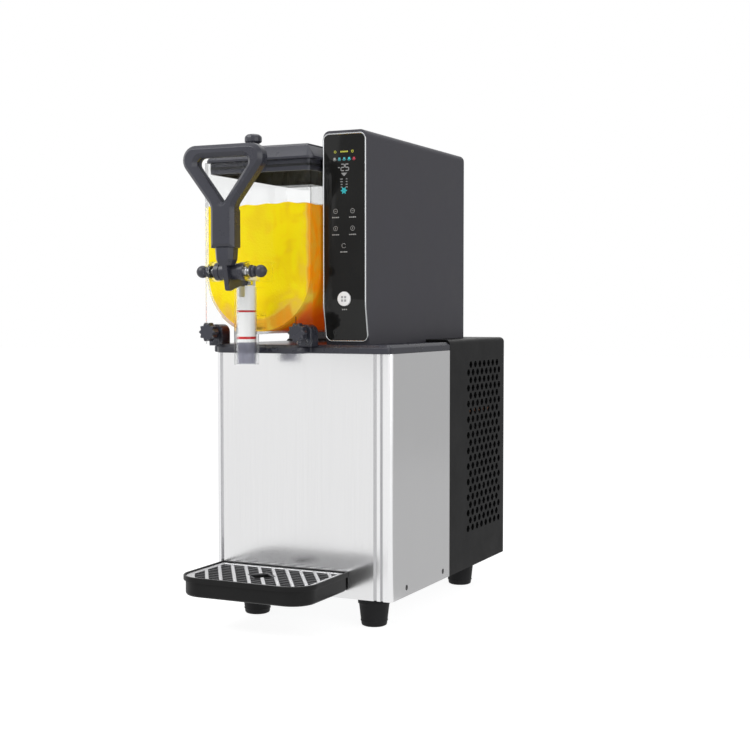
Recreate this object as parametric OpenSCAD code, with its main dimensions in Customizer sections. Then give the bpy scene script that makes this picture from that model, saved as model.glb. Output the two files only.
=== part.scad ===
// Single-tank countertop slush machine.
// X runs to the right, Y runs to the back, Z runs up. All sizes are in millimetres.
// Lengths are laid out from the face of the front panel and the underside of the casing,
// then placed() moves everything so that the origin is on the counter, under the middle.

/* [Casing] */
// Width of the steel casing
case_w = 230; // [215:1:280]
// Depth of the casing, from the front panel to the back of the rear cover
case_d = 374; // [350:1:450]
// Height of the steel casing above its underside
case_h = 280; // [265:1:340]
// Depth of the steel side panels, in front of the rear cover
side_d = 171; // [145:1:205]
// Thickness of the steel sheet
sheet_t = 1.2; // [0.8:0.1:1.6]
// Radius of the upright front corners
corner_r = 5; // [3:0.5:5.5]
// Width of the left corner post, seen from the front
post_left_w = 6; // [5.5:0.5:12]
// Width of the right corner post, seen from the front
post_right_w = 11; // [6:0.5:16]
// Width of each shadow groove beside the front panel
groove_w = 4; // [2:0.5:6]
// Depth of the shadow grooves
groove_d = 4; // [3:0.5:6]
// Width of the trim strip to the right of the front panel
strip_w = 4; // [2:0.5:8]
// Wall of the moulded covers
cover_t = 2.5; // [1.5:0.1:3]
// How far the rear cover stands above the steel casing
cover_rise = 13; // [12:0.5:20]
// Radius of the rear cover's back edges
cover_r = 10; // [6:1:16]
// Width across the flats of a vent hole
vent_af = 9; // [5:0.5:11]
// Spacing of the vent columns
vent_pitch = 26; // [22:1:40]
// Spacing of the vent rows
vent_row = 20; // [16:1:40]

/* [Feet] */
// Height of a foot
foot_h = 35; // [20:1:60]
// Diameter of a foot at the casing
foot_top_d = 38; // [30:1:46]
// Diameter of a foot at the counter
foot_low_d = 30; // [20:1:40]
// Distance of the feet from the middle of the casing
foot_x = 78; // [60:1:90]
// Distance of the front feet behind the front panel
foot_front_y = 32; // [28:1:60]
// Distance of the rear feet in front of the casing's back
foot_rear_in = 75; // [45:1:110]
// Radius of a foot's threaded stud
foot_stud_r = 4; // [3:0.5:5]

/* [Deck] */
// Thickness of the deck's rim
deck_h = 10; // [8:0.5:14]
// How far the deck's front edge stands out from the front panel
deck_lip = 6; // [3:0.5:10]
// Depth of the rounded tongue under the front of the tank, in front of the deck's edge
tongue_d = 22; // [22:1:40]
// Radius of the tongue's corners
tongue_r = 14; // [6:1:18]

/* [Tank] */
// Outer radius of the tank's round bottom
tank_r = 70; // [62:1:84]
// Height of the tank's straight sides
tank_side_h = 128; // [105:1:155]
// Length of the tank
tank_len = 197; // [170:1:240]
// How far the tank's front stands out from the front panel
tank_front = 25; // [22:1:30]
// Wall of the tank
tank_t = 3; // [2:0.5:3.5]
// Gap between the tank's bottom and the deck
tank_gap = 12; // [8:1:24]
// Space between the casing's left side and the tank
tank_margin = 2; // [1:0.5:10]
// Height of the lid above the tank's rim
lid_h = 17.5; // [12:0.5:24]
// Depth of the lid's skirt inside the tank
skirt_h = 13; // [8:1:20]
// Diameter of the lid's knob
lid_knob_d = 20; // [16:1:24]
// Height of the lid's knob
lid_knob_h = 14.5; // [12:0.5:24]

/* [Freezing drum and auger] */
// Outer radius of the freezing drum
drum_r = 48; // [40:1:52]
// Space between the tank's front wall and the drum's front
drum_gap = 42; // [36:1:60]
// Radius of the drive shaft
shaft_r = 8; // [6:0.5:9]
// Running clearance of the auger round the drum
auger_gap = 2; // [1:0.5:4]
// Running clearance of the auger inside the tank
auger_tank_gap = 2; // [1:0.5:4]
// Pitch of the auger's screw
auger_pitch = 56; // [40:1:80]
// Depth of the housing behind the tank
drive_d = 126; // [115:1:150]

/* [Tap] */
// Outer diameter of the tap's barrel
barrel_od = 28; // [26:0.5:34]
// Radius of the piston's bore
bore_r = 10.5; // [9:0.5:11]
// Distance of the barrel's axis in front of the tank
barrel_off = 25; // [22:0.5:32]
// How far the barrel hangs below the tank's bottom
barrel_drop = 34; // [24:1:50]
// Height of the barrel above the tank's bottom
barrel_rise = 53; // [48:1:60]
// Distance from the barrel's axis to the lever's pivot
lever_arm = 32; // [30:1:38]
// Angle of the lever's arm below level, when the tap is shut
arm_rest = 22.5; // [15:0.5:25]
// Radius of the pivot pin
pivot_r = 4; // [3:0.5:5]
// Width of the lever's grip
grip_w = 100; // [80:1:120]
// Height of the lever's grip above its pivot
grip_rise = 138; // [120:1:160]
// Thickness of the grip's bars, seen from the front
bar_w = 13; // [10:0.5:16]
// Depth of the grip and the neck, front to back
lever_d = 20; // [14:1:22]

/* [Control column] */
// Width of the column
column_w = 55; // [50:1:62]
// Height of the column above the deck
column_h = 242; // [220:1:280]
// Depth of the column
column_d = 300; // [240:1:340]
// How far the lower end of the column's face leans back
chin_d = 8; // [4:0.5:12]
// Height of the leaning lower end of the face
chin_h = 45; // [30:1:50]
// Radius of the face's corners
face_r = 8; // [5:0.5:12]
// Thickness of the touch glass
glass_t = 2; // [1.5:0.1:2.4]
// Width of the metal trim round the glass
trim_w = 3; // [2:0.5:4]
// Diameter of the start button
button_d = 16.4; // [12:0.2:20]
// Travel of the start button
button_travel = 1.2; // [0.5:0.1:1.4]

/* [Drip tray] */
// Width of the drip tray
tray_w = 168; // [140:1:180]
// How far the tray reaches out from the front panel
tray_d = 106; // [85:1:130]
// Height of the tray
tray_h = 23; // [18:1:34]
// Height of the tray's underside above the casing's underside
tray_lift = 8; // [4:1:20]
// Radius of the tray's front corners
tray_r = 30; // [16:1:40]
// Wall of the tray
tray_t = 2.5; // [1.5:0.1:3]
// Distance of the tray's middle to the right of the tank's middle
tray_off = 20; // [0:1:30]
// Thickness of the grille
grille_t = 2.5; // [2:0.5:4]
// Spacing of the grille's slanted ribs, along the front
rib_pitch = 18.3; // [14:0.1:24]
// Width of a slanted rib
rib_w = 4; // [2.5:0.5:6]
// Angle of the ribs away from the front edge
rib_angle = 57; // [50:1:70]

/* [Hidden] */
$fn = 72;

cut = 1;                    // how far a cutting solid runs past the face it cuts
slip = 0.05;                // radial clearance of a running fit
gap = 0.3;                  // clearance between pieces that move apart

// casing
half_w = case_w / 2;
panel_x0 = -half_w + post_left_w + groove_w;
panel_x1 = half_w - post_right_w - 2 * groove_w - strip_w;
strip_x = panel_x1 + groove_w;
cover_y = side_d + gap;
cover_z = case_h + cover_rise;
deck_z = case_h + deck_h;
frame_t = 1.5;
frame_border = 32;
pan_y = groove_d + frame_t;
pan_half = half_w - sheet_t;
pan_rear_half = half_w - cover_t - gap;
pan_flange = 16;
pan_corner_r = cover_r - cover_t;
frame_half = pan_half - 2 * gap;
flange_w = 12;
screw_z = 10;
screw_r = 1.6;
screw_head_r = 3;
screw_len = 8;
screw_ys = [foot_front_y + 9, side_d - 21];
foot_ys = [foot_front_y, case_d - foot_rear_in];
foot_low_r = 4;
foot_bore_d = 22;
foot_nut_r = 7.5;
foot_nut_h = 6;

// tank, drum and auger
tank_x = -half_w + tank_margin + tank_r;
tank_y0 = -tank_front;
tank_y1 = tank_y0 + tank_len;
axis_z = deck_z + tank_gap + tank_r;
rim_z = axis_z + tank_side_h;
low_z = axis_z - tank_r;
in_r = tank_r - tank_t;
gasket_lip = 5;
seat_gap = 2;
drive_y = tank_y1 + seat_gap;
drive_y1 = drive_y + drive_d;
bracket_y = drive_y + cover_t;
bracket_t = 2.5;
motor_y = bracket_y + bracket_t;
drum_y = tank_y0 + tank_t + drum_gap;
drum_t = 2;
ring_room = in_r - drum_r;
drum_flange_r = drum_r + ring_room * 8 / 19;
port_r = drum_r + ring_room * 13 / 19;
drum_flange_t = 6;
tube_r = shaft_r + 3;
tube_t = 2;
hub_y0 = drum_y - 22;
hub_y1 = drum_y - 8;
hub_r = 16;
hub_arm_t = 8;
auger_r = in_r - auger_tank_gap;
auger_in_r = drum_r + auger_gap;
auger_ring = 7;
auger_y0 = hub_y1;
auger_y1 = tank_y1 - 12;
auger_sector = 34;
auger_bar_w = 9;

// clamps
clamp_x = tank_r - 11.5;
clamp_z = deck_z + 14;
lug_w = 21;
stud_r = 3;
post_w = 18;
post_d = 18;
star_r = 9.4;
lobe_r = 2;
lobes = 10;
star_t = 10;
neck_t = 6.7;

// tap
barrel_y = tank_y0 - barrel_off;
barrel_z0 = low_z - barrel_drop;
barrel_z1 = low_z + barrel_rise;
barrel_r = barrel_od / 2;
duct_r = 9.5;
duct_z = low_z + tank_t + duct_r + 1.5;
pivot_y = barrel_y - lever_arm;
pivot_z = low_z + 70;
ear_r = 11;
ear_in = 20.5;
ear_t = 4.5;
piston_r = bore_r - 0.2;
piston_z0 = low_z - 9;
slit_z = barrel_z1 - 11;
head_z = pivot_z - 4;
head_r = piston_r - 0.4;
slit_half = 3.6;
arm_half = 3;
cross_r = 2.5;
cross_y = pivot_y + lever_arm * cos(arm_rest);
cross_z = pivot_z - lever_arm * sin(arm_rest);
cross_half = 8.5;
slot_play = 0.5;
ring_low_z = low_z - 4;
ring_high_z = low_z + 26;
o_ring_r = 1.1;
hub_half = ear_in - 1;
lever_hub_r = 10;
lever_y1 = pivot_y - 2;
lever_y0 = lever_y1 - lever_d;
neck_half = 15;
low_neck_half = 11.75;
low_neck_z0 = pivot_z + 6;
neck_z0 = pivot_z + 25.5;
fork_z = pivot_z + 72;
grip_z = pivot_z + grip_rise - bar_w / 2;
grip_half = (grip_w - bar_w) / 2;
fin_front = 15.6;
fin_top = 8;
fin_tip_y = 5.5;
fin_tip_z = 21.5;
fin_clear = 1.2;
cap_r = 7;
cap_washer_r = 7.6;
cap_washer = 2;
cap_collar = 6;
pin_grip = 9;

// lid
lid_over = 0.5;
lid_edge_h = 3;
lid_slope_in = 8;
lid_slope_h = 12;
lid_step_in = 1;
lid_t = 2.5;
lid_r = 8;
lid_knob_x = tank_x - 12.5;
lid_knob_y = tank_y0 + 13;
lid_pad_r = 9;
lid_top_z = rim_z + lid_h;
skirt_gap = 0.6;
skirt_t = 2;
seal_h = 3;

// column
col_x0 = tank_x + tank_r + 1;
col_x1 = col_x0 + column_w;
col_mid = (col_x0 + col_x1) / 2;
col_z1 = deck_z + column_h;
face_z0 = deck_z + 3;
face_top = 4;
chin_z = deck_z + chin_h;
seat_y = glass_t;
trim_proud = 0.6;
trim_clear = 0.1;
button_r = button_d / 2;
button_z = deck_z + 52;
button_depth = 8;
button_proud = 1.6;
spring_r = 5;
spring_wire = 0.5;
spring_turns = 4;
window_w = column_w - 21;
window_h = 52;
window_z = col_z1 - 49;
module_t = 5;
board_y = 16;
board_t = 1.6;
board_w = column_w - 2 * cover_t - 6;
board_z0 = deck_z + 36;
board_h = 190;
board_post_r = 2.5;

// drip tray
tray_x = tank_x + tray_off;
tray_y1 = -gap;
tray_y0 = -tray_d;
tray_z1 = tray_lift + tray_h;
rim_h = 6;
rim_out = 2.5;
tab_w = 12;
tab_t = 3;
tab_len = 9;
tab_off = 57;
tab_z = tray_z1 - 9;
grille_in = 3;
grille_z1 = tray_z1 - 1.5;
grille_z0 = grille_z1 - grille_t;
ledge_h = 4;
grille_frame = 6;
slot_pitch = 8.5;
slot_d = 4.5;
drain_w = 27;
drain_d = 24;

// inside the casing
comp_x = 40;
comp_y = 96;
comp_r = 52;
comp_h = 136;
comp_plate_z = 13;
comp_plate_t = 3;
comp_foot_x = 48;
comp_foot_y = 48;
grommet_r = 8;
cond_w = 180;
cond_h = 205;
cond_d = 36;
cond_y0 = case_d - cover_t - cond_d - 22;
cond_fins = 26;
fin_t = 0.8;
tube_rows = 6;
cond_tube_r = 4;
fan_z = 118;
fan_r = 74;
shroud_gap = 4;
shroud_t = 2;
shroud_d = 22;
fan_hub_r = 16;
fan_blades = 5;
fan_y1 = cond_y0 - 8;
fan_y0 = fan_y1 - 20;
fan_motor_y1 = fan_y0 - 6;
fan_motor_y0 = fan_motor_y1 - 34;
fan_motor_r = 30;
fan_shaft_r = 2.5;
drier_x = -72;
drier_y = 200;
drier_r = 9.5;
drier_z0 = 70;
drier_z1 = 150;
pipe_r = 3;
elbow_grow = 1.05;
elbow_turn = [50, 25, 15];
angle_w = 20;
angle_t = 2;
bracket_half = tank_r - 10;
bracket_z0 = case_h - 50;
bracket_r = tank_r - cover_t - 1.5;
gearbox_r = 38;
gearbox_d = 40;
motor_r = 32;
motor_d = 66;
supply_x0 = -105;
supply_y0 = 40;
supply_w = 70;
supply_d = 100;
supply_z = 12;

// sockets on the back
inlet_x = 62;
inlet_z = 250;
inlet_w = 27.5;
inlet_h = 20;
inlet_rim = 3.5;
inlet_rim_t = 2;
inlet_depth = 24;
rocker_x = inlet_x - 38;
rocker_w = 15;
rocker_h = 21;
rocker_turn = 8;
rocker_proud = 2.2;

rear_reach = case_d + rocker_proud;
front_reach = max(tray_d, -lever_y0);
shift_y = (front_reach - rear_reach) / 2;

// ---- helpers ----

// moves the machine so that the origin is on the counter, under its middle
module placed() {
    translate([0, shift_y, foot_h]) children();
}

// box between two opposite corners
module block(a, b) {
    translate(a) cube(b - a);
}

// profile drawn in X and Z, running from y0 to y1
module run_y(y0, y1) {
    translate([0, y1, 0]) rotate([90, 0, 0]) linear_extrude(y1 - y0) children();
}

// profile drawn in Y and Z, running from x0 to x1
module run_x(x0, x1) {
    translate([x0, 0, 0]) rotate([90, 0, 90]) linear_extrude(x1 - x0) children();
}

// profile drawn in X and Y, running from z0 to z1
module run_z(z0, z1) {
    translate([0, 0, z0]) linear_extrude(z1 - z0) children();
}

module rod_x(x0, x1, y, z, r) {
    translate([x0, y, z]) rotate([0, 90, 0]) cylinder(h = x1 - x0, r = r);
}

module rod_y(x, y0, y1, z, r) {
    translate([x, y1, z]) rotate([90, 0, 0]) cylinder(h = y1 - y0, r = r);
}

module rod_z(x, y, z0, z1, r) {
    translate([x, y, z0]) cylinder(h = z1 - z0, r = r);
}

// ring turned about an axis along Y
module ring_y(x, y0, y1, z, r_in, r_out) {
    difference() {
        rod_y(x, y0, y1, z, r_out);
        rod_y(x, y0 - cut, y1 + cut, z, r_in);
    }
}

// rectangle with round corners
module round_rect(a, b, r) {
    translate([a.x + r, a.y]) square([b.x - a.x - 2 * r, b.y - a.y]);
    translate([a.x, a.y + r]) square([b.x - a.x, b.y - a.y - 2 * r]);
    for (x = [a.x + r, b.x - r], y = [a.y + r, b.y - r]) translate([x, y]) circle(r);
}

// rectangle whose two corners at low Y are round
module round_front(a, b, r) {
    translate([a.x + r, a.y]) square([b.x - a.x - 2 * r, b.y - a.y]);
    translate([a.x, a.y + r]) square([b.x - a.x, b.y - a.y - r]);
    for (x = [a.x + r, b.x - r]) translate([x, a.y + r]) circle(r);
}

// rectangle whose two corners at high Y are round
module round_back(a, b, r) {
    mirror([0, 1]) round_front([a.x, -b.y], [b.x, -a.y], r);
}

// U shape of the tank, drawn in X and Z
module u_shape(r, top) {
    translate([tank_x, axis_z]) circle(r);
    translate([tank_x - r, axis_z]) square([2 * r, top - axis_z]);
}

// the same U turned over, for the housing behind the tank
module arch_shape(r, low) {
    translate([tank_x, axis_z]) circle(r);
    translate([tank_x - r, low]) square([2 * r, axis_z - low]);
}

// round bar from one point to the next along a list, with slightly fuller round elbows,
// turned so that no pole or seam of an elbow meets a bar
module pipe(points, r) {
    for (i = [0 : len(points) - 2]) {
        d = points[i + 1] - points[i];
        translate(points[i]) rotate([0, acos(d.z / norm(d)), atan2(d.y, d.x)]) cylinder(h = norm(d), r = r);
    }
    for (i = [1 : 1 : len(points) - 2]) translate(points[i]) rotate(elbow_turn) sphere(r * elbow_grow);
}

module both_sides() {
    children();
    mirror([1, 0, 0]) children();
}

// children at the left and the right of the tank's middle
module tank_sides() {
    translate([tank_x, 0, 0]) children();
    translate([tank_x, 0, 0]) mirror([1, 0, 0]) children();
}

// ---- casing ----

// floor sheet with upturned edges, drilled for the feet and the side screws
module base_pan() placed() color("silver") difference() {
    union() {
        block([-pan_half, pan_y, 0], [pan_half, side_d, sheet_t]);
        run_z(0, sheet_t) pan_rear(0);
        run_z(0, pan_flange) difference() {
            pan_rear(0);
            pan_rear(sheet_t);
        }
        block([-pan_half, pan_y, 0], [pan_half, pan_y + sheet_t, pan_flange]);
        both_sides() block([pan_half - sheet_t, pan_y, 0], [pan_half, side_d, pan_flange]);
    }
    both_sides() for (y = foot_ys) rod_z(foot_x, y, -cut, sheet_t + cut, foot_stud_r + gap);
    both_sides() for (y = screw_ys) rod_x(pan_half - 2 * sheet_t, half_w, y, screw_z, screw_r + slip);
}

// plan of the floor sheet's rear part, inside the rear cover, moved in by t
module pan_rear(t) {
    round_back([-pan_rear_half + t, side_d - t], [pan_rear_half - t, case_d - cover_t - gap - t], pan_corner_r - t);
}

// upright sheet frame behind the front panel, with the trim strip on it
module front_frame() placed() color("#b9bcbf") difference() {
    union() {
        block([-frame_half, groove_d, 0], [frame_half, pan_y, case_h]);
        block([strip_x, sheet_t / 2, 0], [strip_x + strip_w, groove_d, case_h]);
    }
    block([-frame_half + frame_border, groove_d - cut, frame_border],
        [frame_half - frame_border, pan_y + cut, case_h - frame_border]);
    tray_slots(groove_d - cut, pan_y + cut);
}

// holes that take the drip tray's two tabs
module tray_slots(y0, y1) {
    for (s = [-1, 1]) translate([tray_x + s * tab_off, 0, 0])
        block([-tab_w / 2 - gap, y0, tab_z - gap], [tab_w / 2 + gap, y1, tab_z + tab_t + gap]);
}

module front_panel() placed() color("#dcdee0") difference() {
    block([panel_x0, 0, 0], [panel_x1, groove_d, case_h]);
    block([panel_x0 + sheet_t, sheet_t, sheet_t], [panel_x1 - sheet_t, groove_d + cut, case_h - sheet_t]);
    tray_slots(-cut, groove_d + cut);
}

// right-hand side sheet with its rounded front corner, corner post and fixing flanges
module side_sheet(post) {
    run_z(0, case_h) {
        translate([half_w - sheet_t, corner_r]) square([sheet_t, side_d - corner_r]);
        intersection() {
            difference() {
                translate([half_w - corner_r, corner_r]) circle(corner_r);
                translate([half_w - corner_r, corner_r]) circle(corner_r - sheet_t);
            }
            translate([half_w - corner_r, 0]) square(corner_r);
        }
        translate([half_w - post, 0]) square([post - corner_r, sheet_t]);
        translate([half_w - post, 0]) square([sheet_t, groove_d]);
    }
    block([half_w - flange_w, pan_y, case_h - sheet_t], [half_w - sheet_t, side_d, case_h]);
    block([half_w - flange_w, side_d - sheet_t, pan_flange], [half_w - sheet_t, side_d, case_h]);
}

module side_holes() {
    for (y = screw_ys) rod_x(half_w - 2 * sheet_t, half_w + cut, y, screw_z, screw_head_r + gap);
}

module side_panel_left() placed() color("silver") mirror([1, 0, 0]) difference() {
    side_sheet(post_left_w);
    side_holes();
}

module side_panel_right() placed() color("silver") difference() {
    side_sheet(post_right_w);
    side_holes();
}

module case_screws() placed() color("#303236") both_sides() for (y = screw_ys) {
    rod_x(pan_half, pan_half + sheet_t * 0.8, y, screw_z, screw_head_r);
    rod_x(pan_half - screw_len, pan_half, y, screw_z, screw_r);
}

// outside of the rear cover, or its inside when inset by t
module cover_form(t) {
    past = t > 0 ? cut : 0;
    intersection() {
        run_z(-past, cover_z - t)
            round_back([-half_w + t, cover_y - past], [half_w - t, case_d - t], cover_r - t);
        run_x(-half_w, half_w) {
            translate([cover_y - past, -past]) square([case_d - t - cover_r - cover_y + past, cover_z - t + past]);
            translate([cover_y - past, -past]) square([case_d - t - cover_y + past, cover_z - cover_r + past]);
            translate([case_d - cover_r, cover_z - cover_r]) circle(cover_r - t);
        }
    }
}

// staggered six-sided vent holes between a and b, cut along X
module side_vents(a, b) {
    cols = floor((b.x - a.x) / vent_pitch);
    rows = floor((b.y - a.y) / vent_row);
    for (i = [0 : cols], j = [0 : rows]) {
        y = a.x + i * vent_pitch + (j % 2) * vent_pitch / 2;
        if (y < b.x) translate([-half_w - cut, y, a.y + j * vent_row]) rotate([0, 90, 0])
            cylinder(h = case_w + 2 * cut, d = vent_af / cos(30), $fn = 6);
    }
}

// the same holes through the back
module back_vents(a, b) {
    cols = floor((b.x - a.x) / vent_pitch);
    rows = floor((b.y - a.y) / vent_row);
    for (i = [0 : cols], j = [0 : rows]) {
        x = a.x + i * vent_pitch + (j % 2) * vent_pitch / 2;
        if (x < b.x) translate([x, case_d + cut, a.y + j * vent_row]) rotate([90, 0, 0])
            cylinder(h = cover_t + 2 * cut, d = vent_af / cos(30), $fn = 6);
    }
}

module rear_cover() placed() color("#1b1b1d") difference() {
    cover_form(0);
    cover_form(cover_t);
    side_vents([side_d + 56, 45], [case_d - 12, case_h - 12]);
    back_vents([-half_w + 22, 45], [half_w - 18, inlet_z - 24]);
    block([tank_x - bracket_half - 2, cover_y + 4, cover_z - 2 * cover_t],
        [tank_x + bracket_half + 2, drive_y1 - 6, cover_z + cut]);
    block([col_x0 + 6, cover_y + 6, cover_z - 2 * cover_t], [col_x1 - 6, column_d - 8, cover_z + cut]);
    block([inlet_x - inlet_w / 2 - gap, case_d - 2 * cover_t, inlet_z - inlet_h / 2 - gap],
        [inlet_x + inlet_w / 2 + gap, case_d + cut, inlet_z + inlet_h / 2 + gap]);
    block([rocker_x - rocker_w / 2 - gap, case_d - 2 * cover_t, inlet_z - rocker_h / 2 - gap],
        [rocker_x + rocker_w / 2 + gap, case_d + cut, inlet_z + rocker_h / 2 + gap]);
}

// two upright angles that carry the drive
module chassis_posts() placed() color("#9a9da1") tank_sides() {
    block([bracket_half - angle_w, motor_y, sheet_t], [bracket_half, motor_y + angle_t, low_z]);
    block([bracket_half - angle_t, motor_y, sheet_t], [bracket_half, motor_y + angle_w, low_z]);
}

// moulded deck with a hollow underside, the tongue and the two clamp posts
module top_deck() placed() color("#45484f") difference() {
    union() {
        run_z(case_h, deck_z) round_front([-half_w, -deck_lip], [half_w, side_d], corner_r);
        run_z(case_h - 1, deck_z)
            round_front([tank_x - clamp_x, -deck_lip - tongue_d], [tank_x + clamp_x, -0.5], tongue_r);
        tank_sides() {
            block([clamp_x - post_w / 2, tank_y0 + tank_t, deck_z - cut],
                [clamp_x + post_w / 2, tank_y0 + tank_t + post_d, clamp_z]);
            rod_y(clamp_x, tank_y0 + tank_t, tank_y0 + tank_t + post_d, clamp_z, post_w / 2);
        }
    }
    block([-half_w + flange_w + 2, pan_y + 4, case_h - cut],
        [half_w - flange_w - 2, side_d - 6, deck_z - cover_t]);
    tank_sides() rod_y(clamp_x, tank_y0, tank_y0 + tank_t + post_d - cover_t, clamp_z, stud_r + slip);
}

module feet() placed() color("#232325") both_sides() for (y = foot_ys) difference() {
    translate([foot_x, y, -foot_h]) rotate_extrude() foot_profile();
    rod_z(foot_x, y, -foot_bore_d, cut, foot_stud_r + slip);
}

// half section of a foot: tapered, with a rounded lower edge
module foot_profile() {
    low_r = foot_low_d / 2;
    top_r = foot_top_d / 2;
    polygon([[0, foot_low_r], [low_r, foot_low_r], [top_r, foot_h], [0, foot_h]]);
    square([low_r - foot_low_r, foot_low_r]);
    intersection() {
        translate([low_r - foot_low_r, foot_low_r]) circle(foot_low_r);
        square([low_r, foot_low_r]);
    }
}

module foot_studs() placed() color("#a8aaad") both_sides() for (y = foot_ys) {
    rod_z(foot_x, y, -foot_bore_d, sheet_t + foot_nut_h + 1, foot_stud_r);
    translate([foot_x, y, sheet_t]) cylinder(h = foot_nut_h, r = foot_nut_r, $fn = 6);
}

// ---- refrigeration ----

module compressor() placed() color("#202022") difference() {
    union() {
        intersection() {
            rod_z(comp_x, comp_y, comp_plate_z, comp_plate_z + comp_h, comp_r);
            translate([comp_x, comp_y, comp_plate_z + comp_h / 2]) sphere(r = comp_h * 0.6);
        }
        rod_z(comp_x, comp_y, comp_plate_z + comp_h * 0.45, comp_plate_z + comp_h * 0.5, comp_r + 2);
        run_z(comp_plate_z, comp_plate_z + comp_plate_t) round_rect([comp_x - comp_foot_x - 10,
            comp_y - comp_foot_y - 10], [comp_x + comp_foot_x + 10, comp_y + comp_foot_y + 10], 8);
        block([comp_x - 16, comp_y - comp_r - 12, comp_plate_z + 50], [comp_x + 16, comp_y, comp_plate_z + 90]);
        for (s = [-1, 1]) rod_z(comp_x + s * 24, comp_y, comp_plate_z + comp_h / 2,
            comp_plate_z + comp_h + 8, pipe_r + 1);
    }
    comp_feet() cylinder(h = 2 * comp_plate_z, r = grommet_r / 2 + slip);
}

module comp_feet() {
    for (s = [-1, 1], t = [-1, 1])
        translate([comp_x + s * comp_foot_x, comp_y + t * comp_foot_y, sheet_t]) children();
}

// rubber mounts, each with a groove that holds the compressor's plate
module compressor_mounts() placed() color("#161616") comp_feet() {
    cylinder(h = comp_plate_z - sheet_t, r = grommet_r);
    cylinder(h = comp_plate_z - sheet_t + comp_plate_t + 1, r = grommet_r / 2);
    translate([0, 0, comp_plate_z - sheet_t + comp_plate_t]) cylinder(h = 4, r = grommet_r - 1);
}

// tubes through a stack of fins, between two end plates that stand on the floor
module condenser() placed() color("#8d9094") {
    fin_pitch = cond_w / (cond_fins - 1);
    tube_pitch = cond_h / tube_rows;
    for (i = [0 : cond_fins - 1]) translate([-cond_w / 2 + i * fin_pitch, 0, 0])
        block([-fin_t / 2, cond_y0, fin_low(i)], [fin_t / 2, cond_y0 + cond_d, cond_h]);
    for (j = [0 : tube_rows - 1])
        rod_x(-cond_w / 2 - 8, cond_w / 2 + 8, cond_y0 + cond_d / 2, (j + 0.7) * tube_pitch, cond_tube_r);
}

// the two end plates reach the floor sheet, the fins between them stop short of it
function fin_low(i) = (i == 0 || i == cond_fins - 1) ? sheet_t : 6;

module fan_shroud() placed() color("#2a2a2c") difference() {
    union() {
        block([-cond_w / 2, cond_y0 - shroud_t, 6], [cond_w / 2, cond_y0, cond_h]);
        rod_y(0, cond_y0 - shroud_d, cond_y0, fan_z, fan_r + shroud_gap + shroud_t);
    }
    rod_y(0, cond_y0 - shroud_d - cut, cond_y0 + cut, fan_z, fan_r + shroud_gap);
}

module fan_motor() placed() color("#6b6e72") difference() {
    union() {
        rod_y(0, fan_motor_y0, fan_motor_y1, fan_z, fan_motor_r);
        for (a = [45 : 90 : 315]) translate([0, 0, fan_z]) rotate([0, a, 0]) pipe([
            [fan_motor_r - 4, fan_motor_y0 + 12, 0],
            [fan_r + shroud_gap + 7, fan_motor_y0 + 12, 0],
            [fan_r + shroud_gap + 7, cond_y0 - shroud_t, 0]], pipe_r);
    }
    rod_y(0, fan_motor_y1 - 12, fan_motor_y1 + cut, fan_z, fan_shaft_r + slip);
}

// five blades on a hub, with the shaft that turns in the motor
module fan_blade() placed() color("#c9cbce") {
    rod_y(0, fan_motor_y1 - 10, fan_y1, fan_z, fan_shaft_r);
    rod_y(0, fan_y0, fan_y1, fan_z, fan_hub_r);
    intersection() {
        ring_y(0, fan_y0, fan_y1, fan_z, fan_hub_r - 2, fan_r);
        for (i = [0 : fan_blades - 1]) translate([0, (fan_y0 + fan_y1) / 2, fan_z])
            rotate([0, i * 360 / fan_blades, 0]) rotate([28, 0, 0])
                block([0, -1, -24], [fan_r + cut, 1, 24]);
    }
}

module filter_drier() placed() color("#b87048") {
    rod_z(drier_x, drier_y + 15, drier_z0, drier_z1, pipe_r + 1);
    rod_z(drier_x, drier_y + 15, drier_z0 + 8, drier_z1 - 8, drier_r);
}

// hot gas, liquid, feed and suction lines
module refrigerant_pipes() placed() color("#c07a50") {
    $fn = 24;
    comp_top = comp_plate_z + comp_h + 8;
    tube_y = cond_y0 + cond_d / 2;
    tube_pitch = cond_h / tube_rows;
    tube_top = (tube_rows - 0.3) * tube_pitch;
    tube_low = 0.7 * tube_pitch;
    end_x = cond_w / 2 + 8;
    wall_x = pan_rear_half - 7;
    port_x = drum_r - drum_t - pipe_r;
    rise_y = motor_y + 16;
    pipe([[comp_x + 24, comp_y, comp_top], [comp_x + 24, comp_y, 200], [comp_x + 24, 228, 200],
        [wall_x, 228, 200], [wall_x, tube_y, 200], [wall_x, tube_y, tube_top], [end_x, tube_y, tube_top]], pipe_r);
    pipe([[-end_x, tube_y, tube_low], [-wall_x, tube_y, tube_low], [-wall_x, drier_y + 15, tube_low],
        [drier_x, drier_y + 15, tube_low], [drier_x, drier_y + 15, drier_z0]], pipe_r);
    pipe([[drier_x, drier_y + 15, drier_z1], [drier_x, drier_y + 15, 190],
        [tank_x - port_x, rise_y, 225], [tank_x - port_x, rise_y, axis_z],
        [tank_x - port_x, bracket_y - 5, axis_z]], pipe_r);
    pipe([[comp_x - 24, comp_y, comp_top], [comp_x - 24, comp_y, 215], [tank_x + 27, rise_y - 17, 215],
        [tank_x + port_x, rise_y, 240], [tank_x + port_x, rise_y, axis_z],
        [tank_x + port_x, bracket_y - 5, axis_z]], pipe_r);
}

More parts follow.
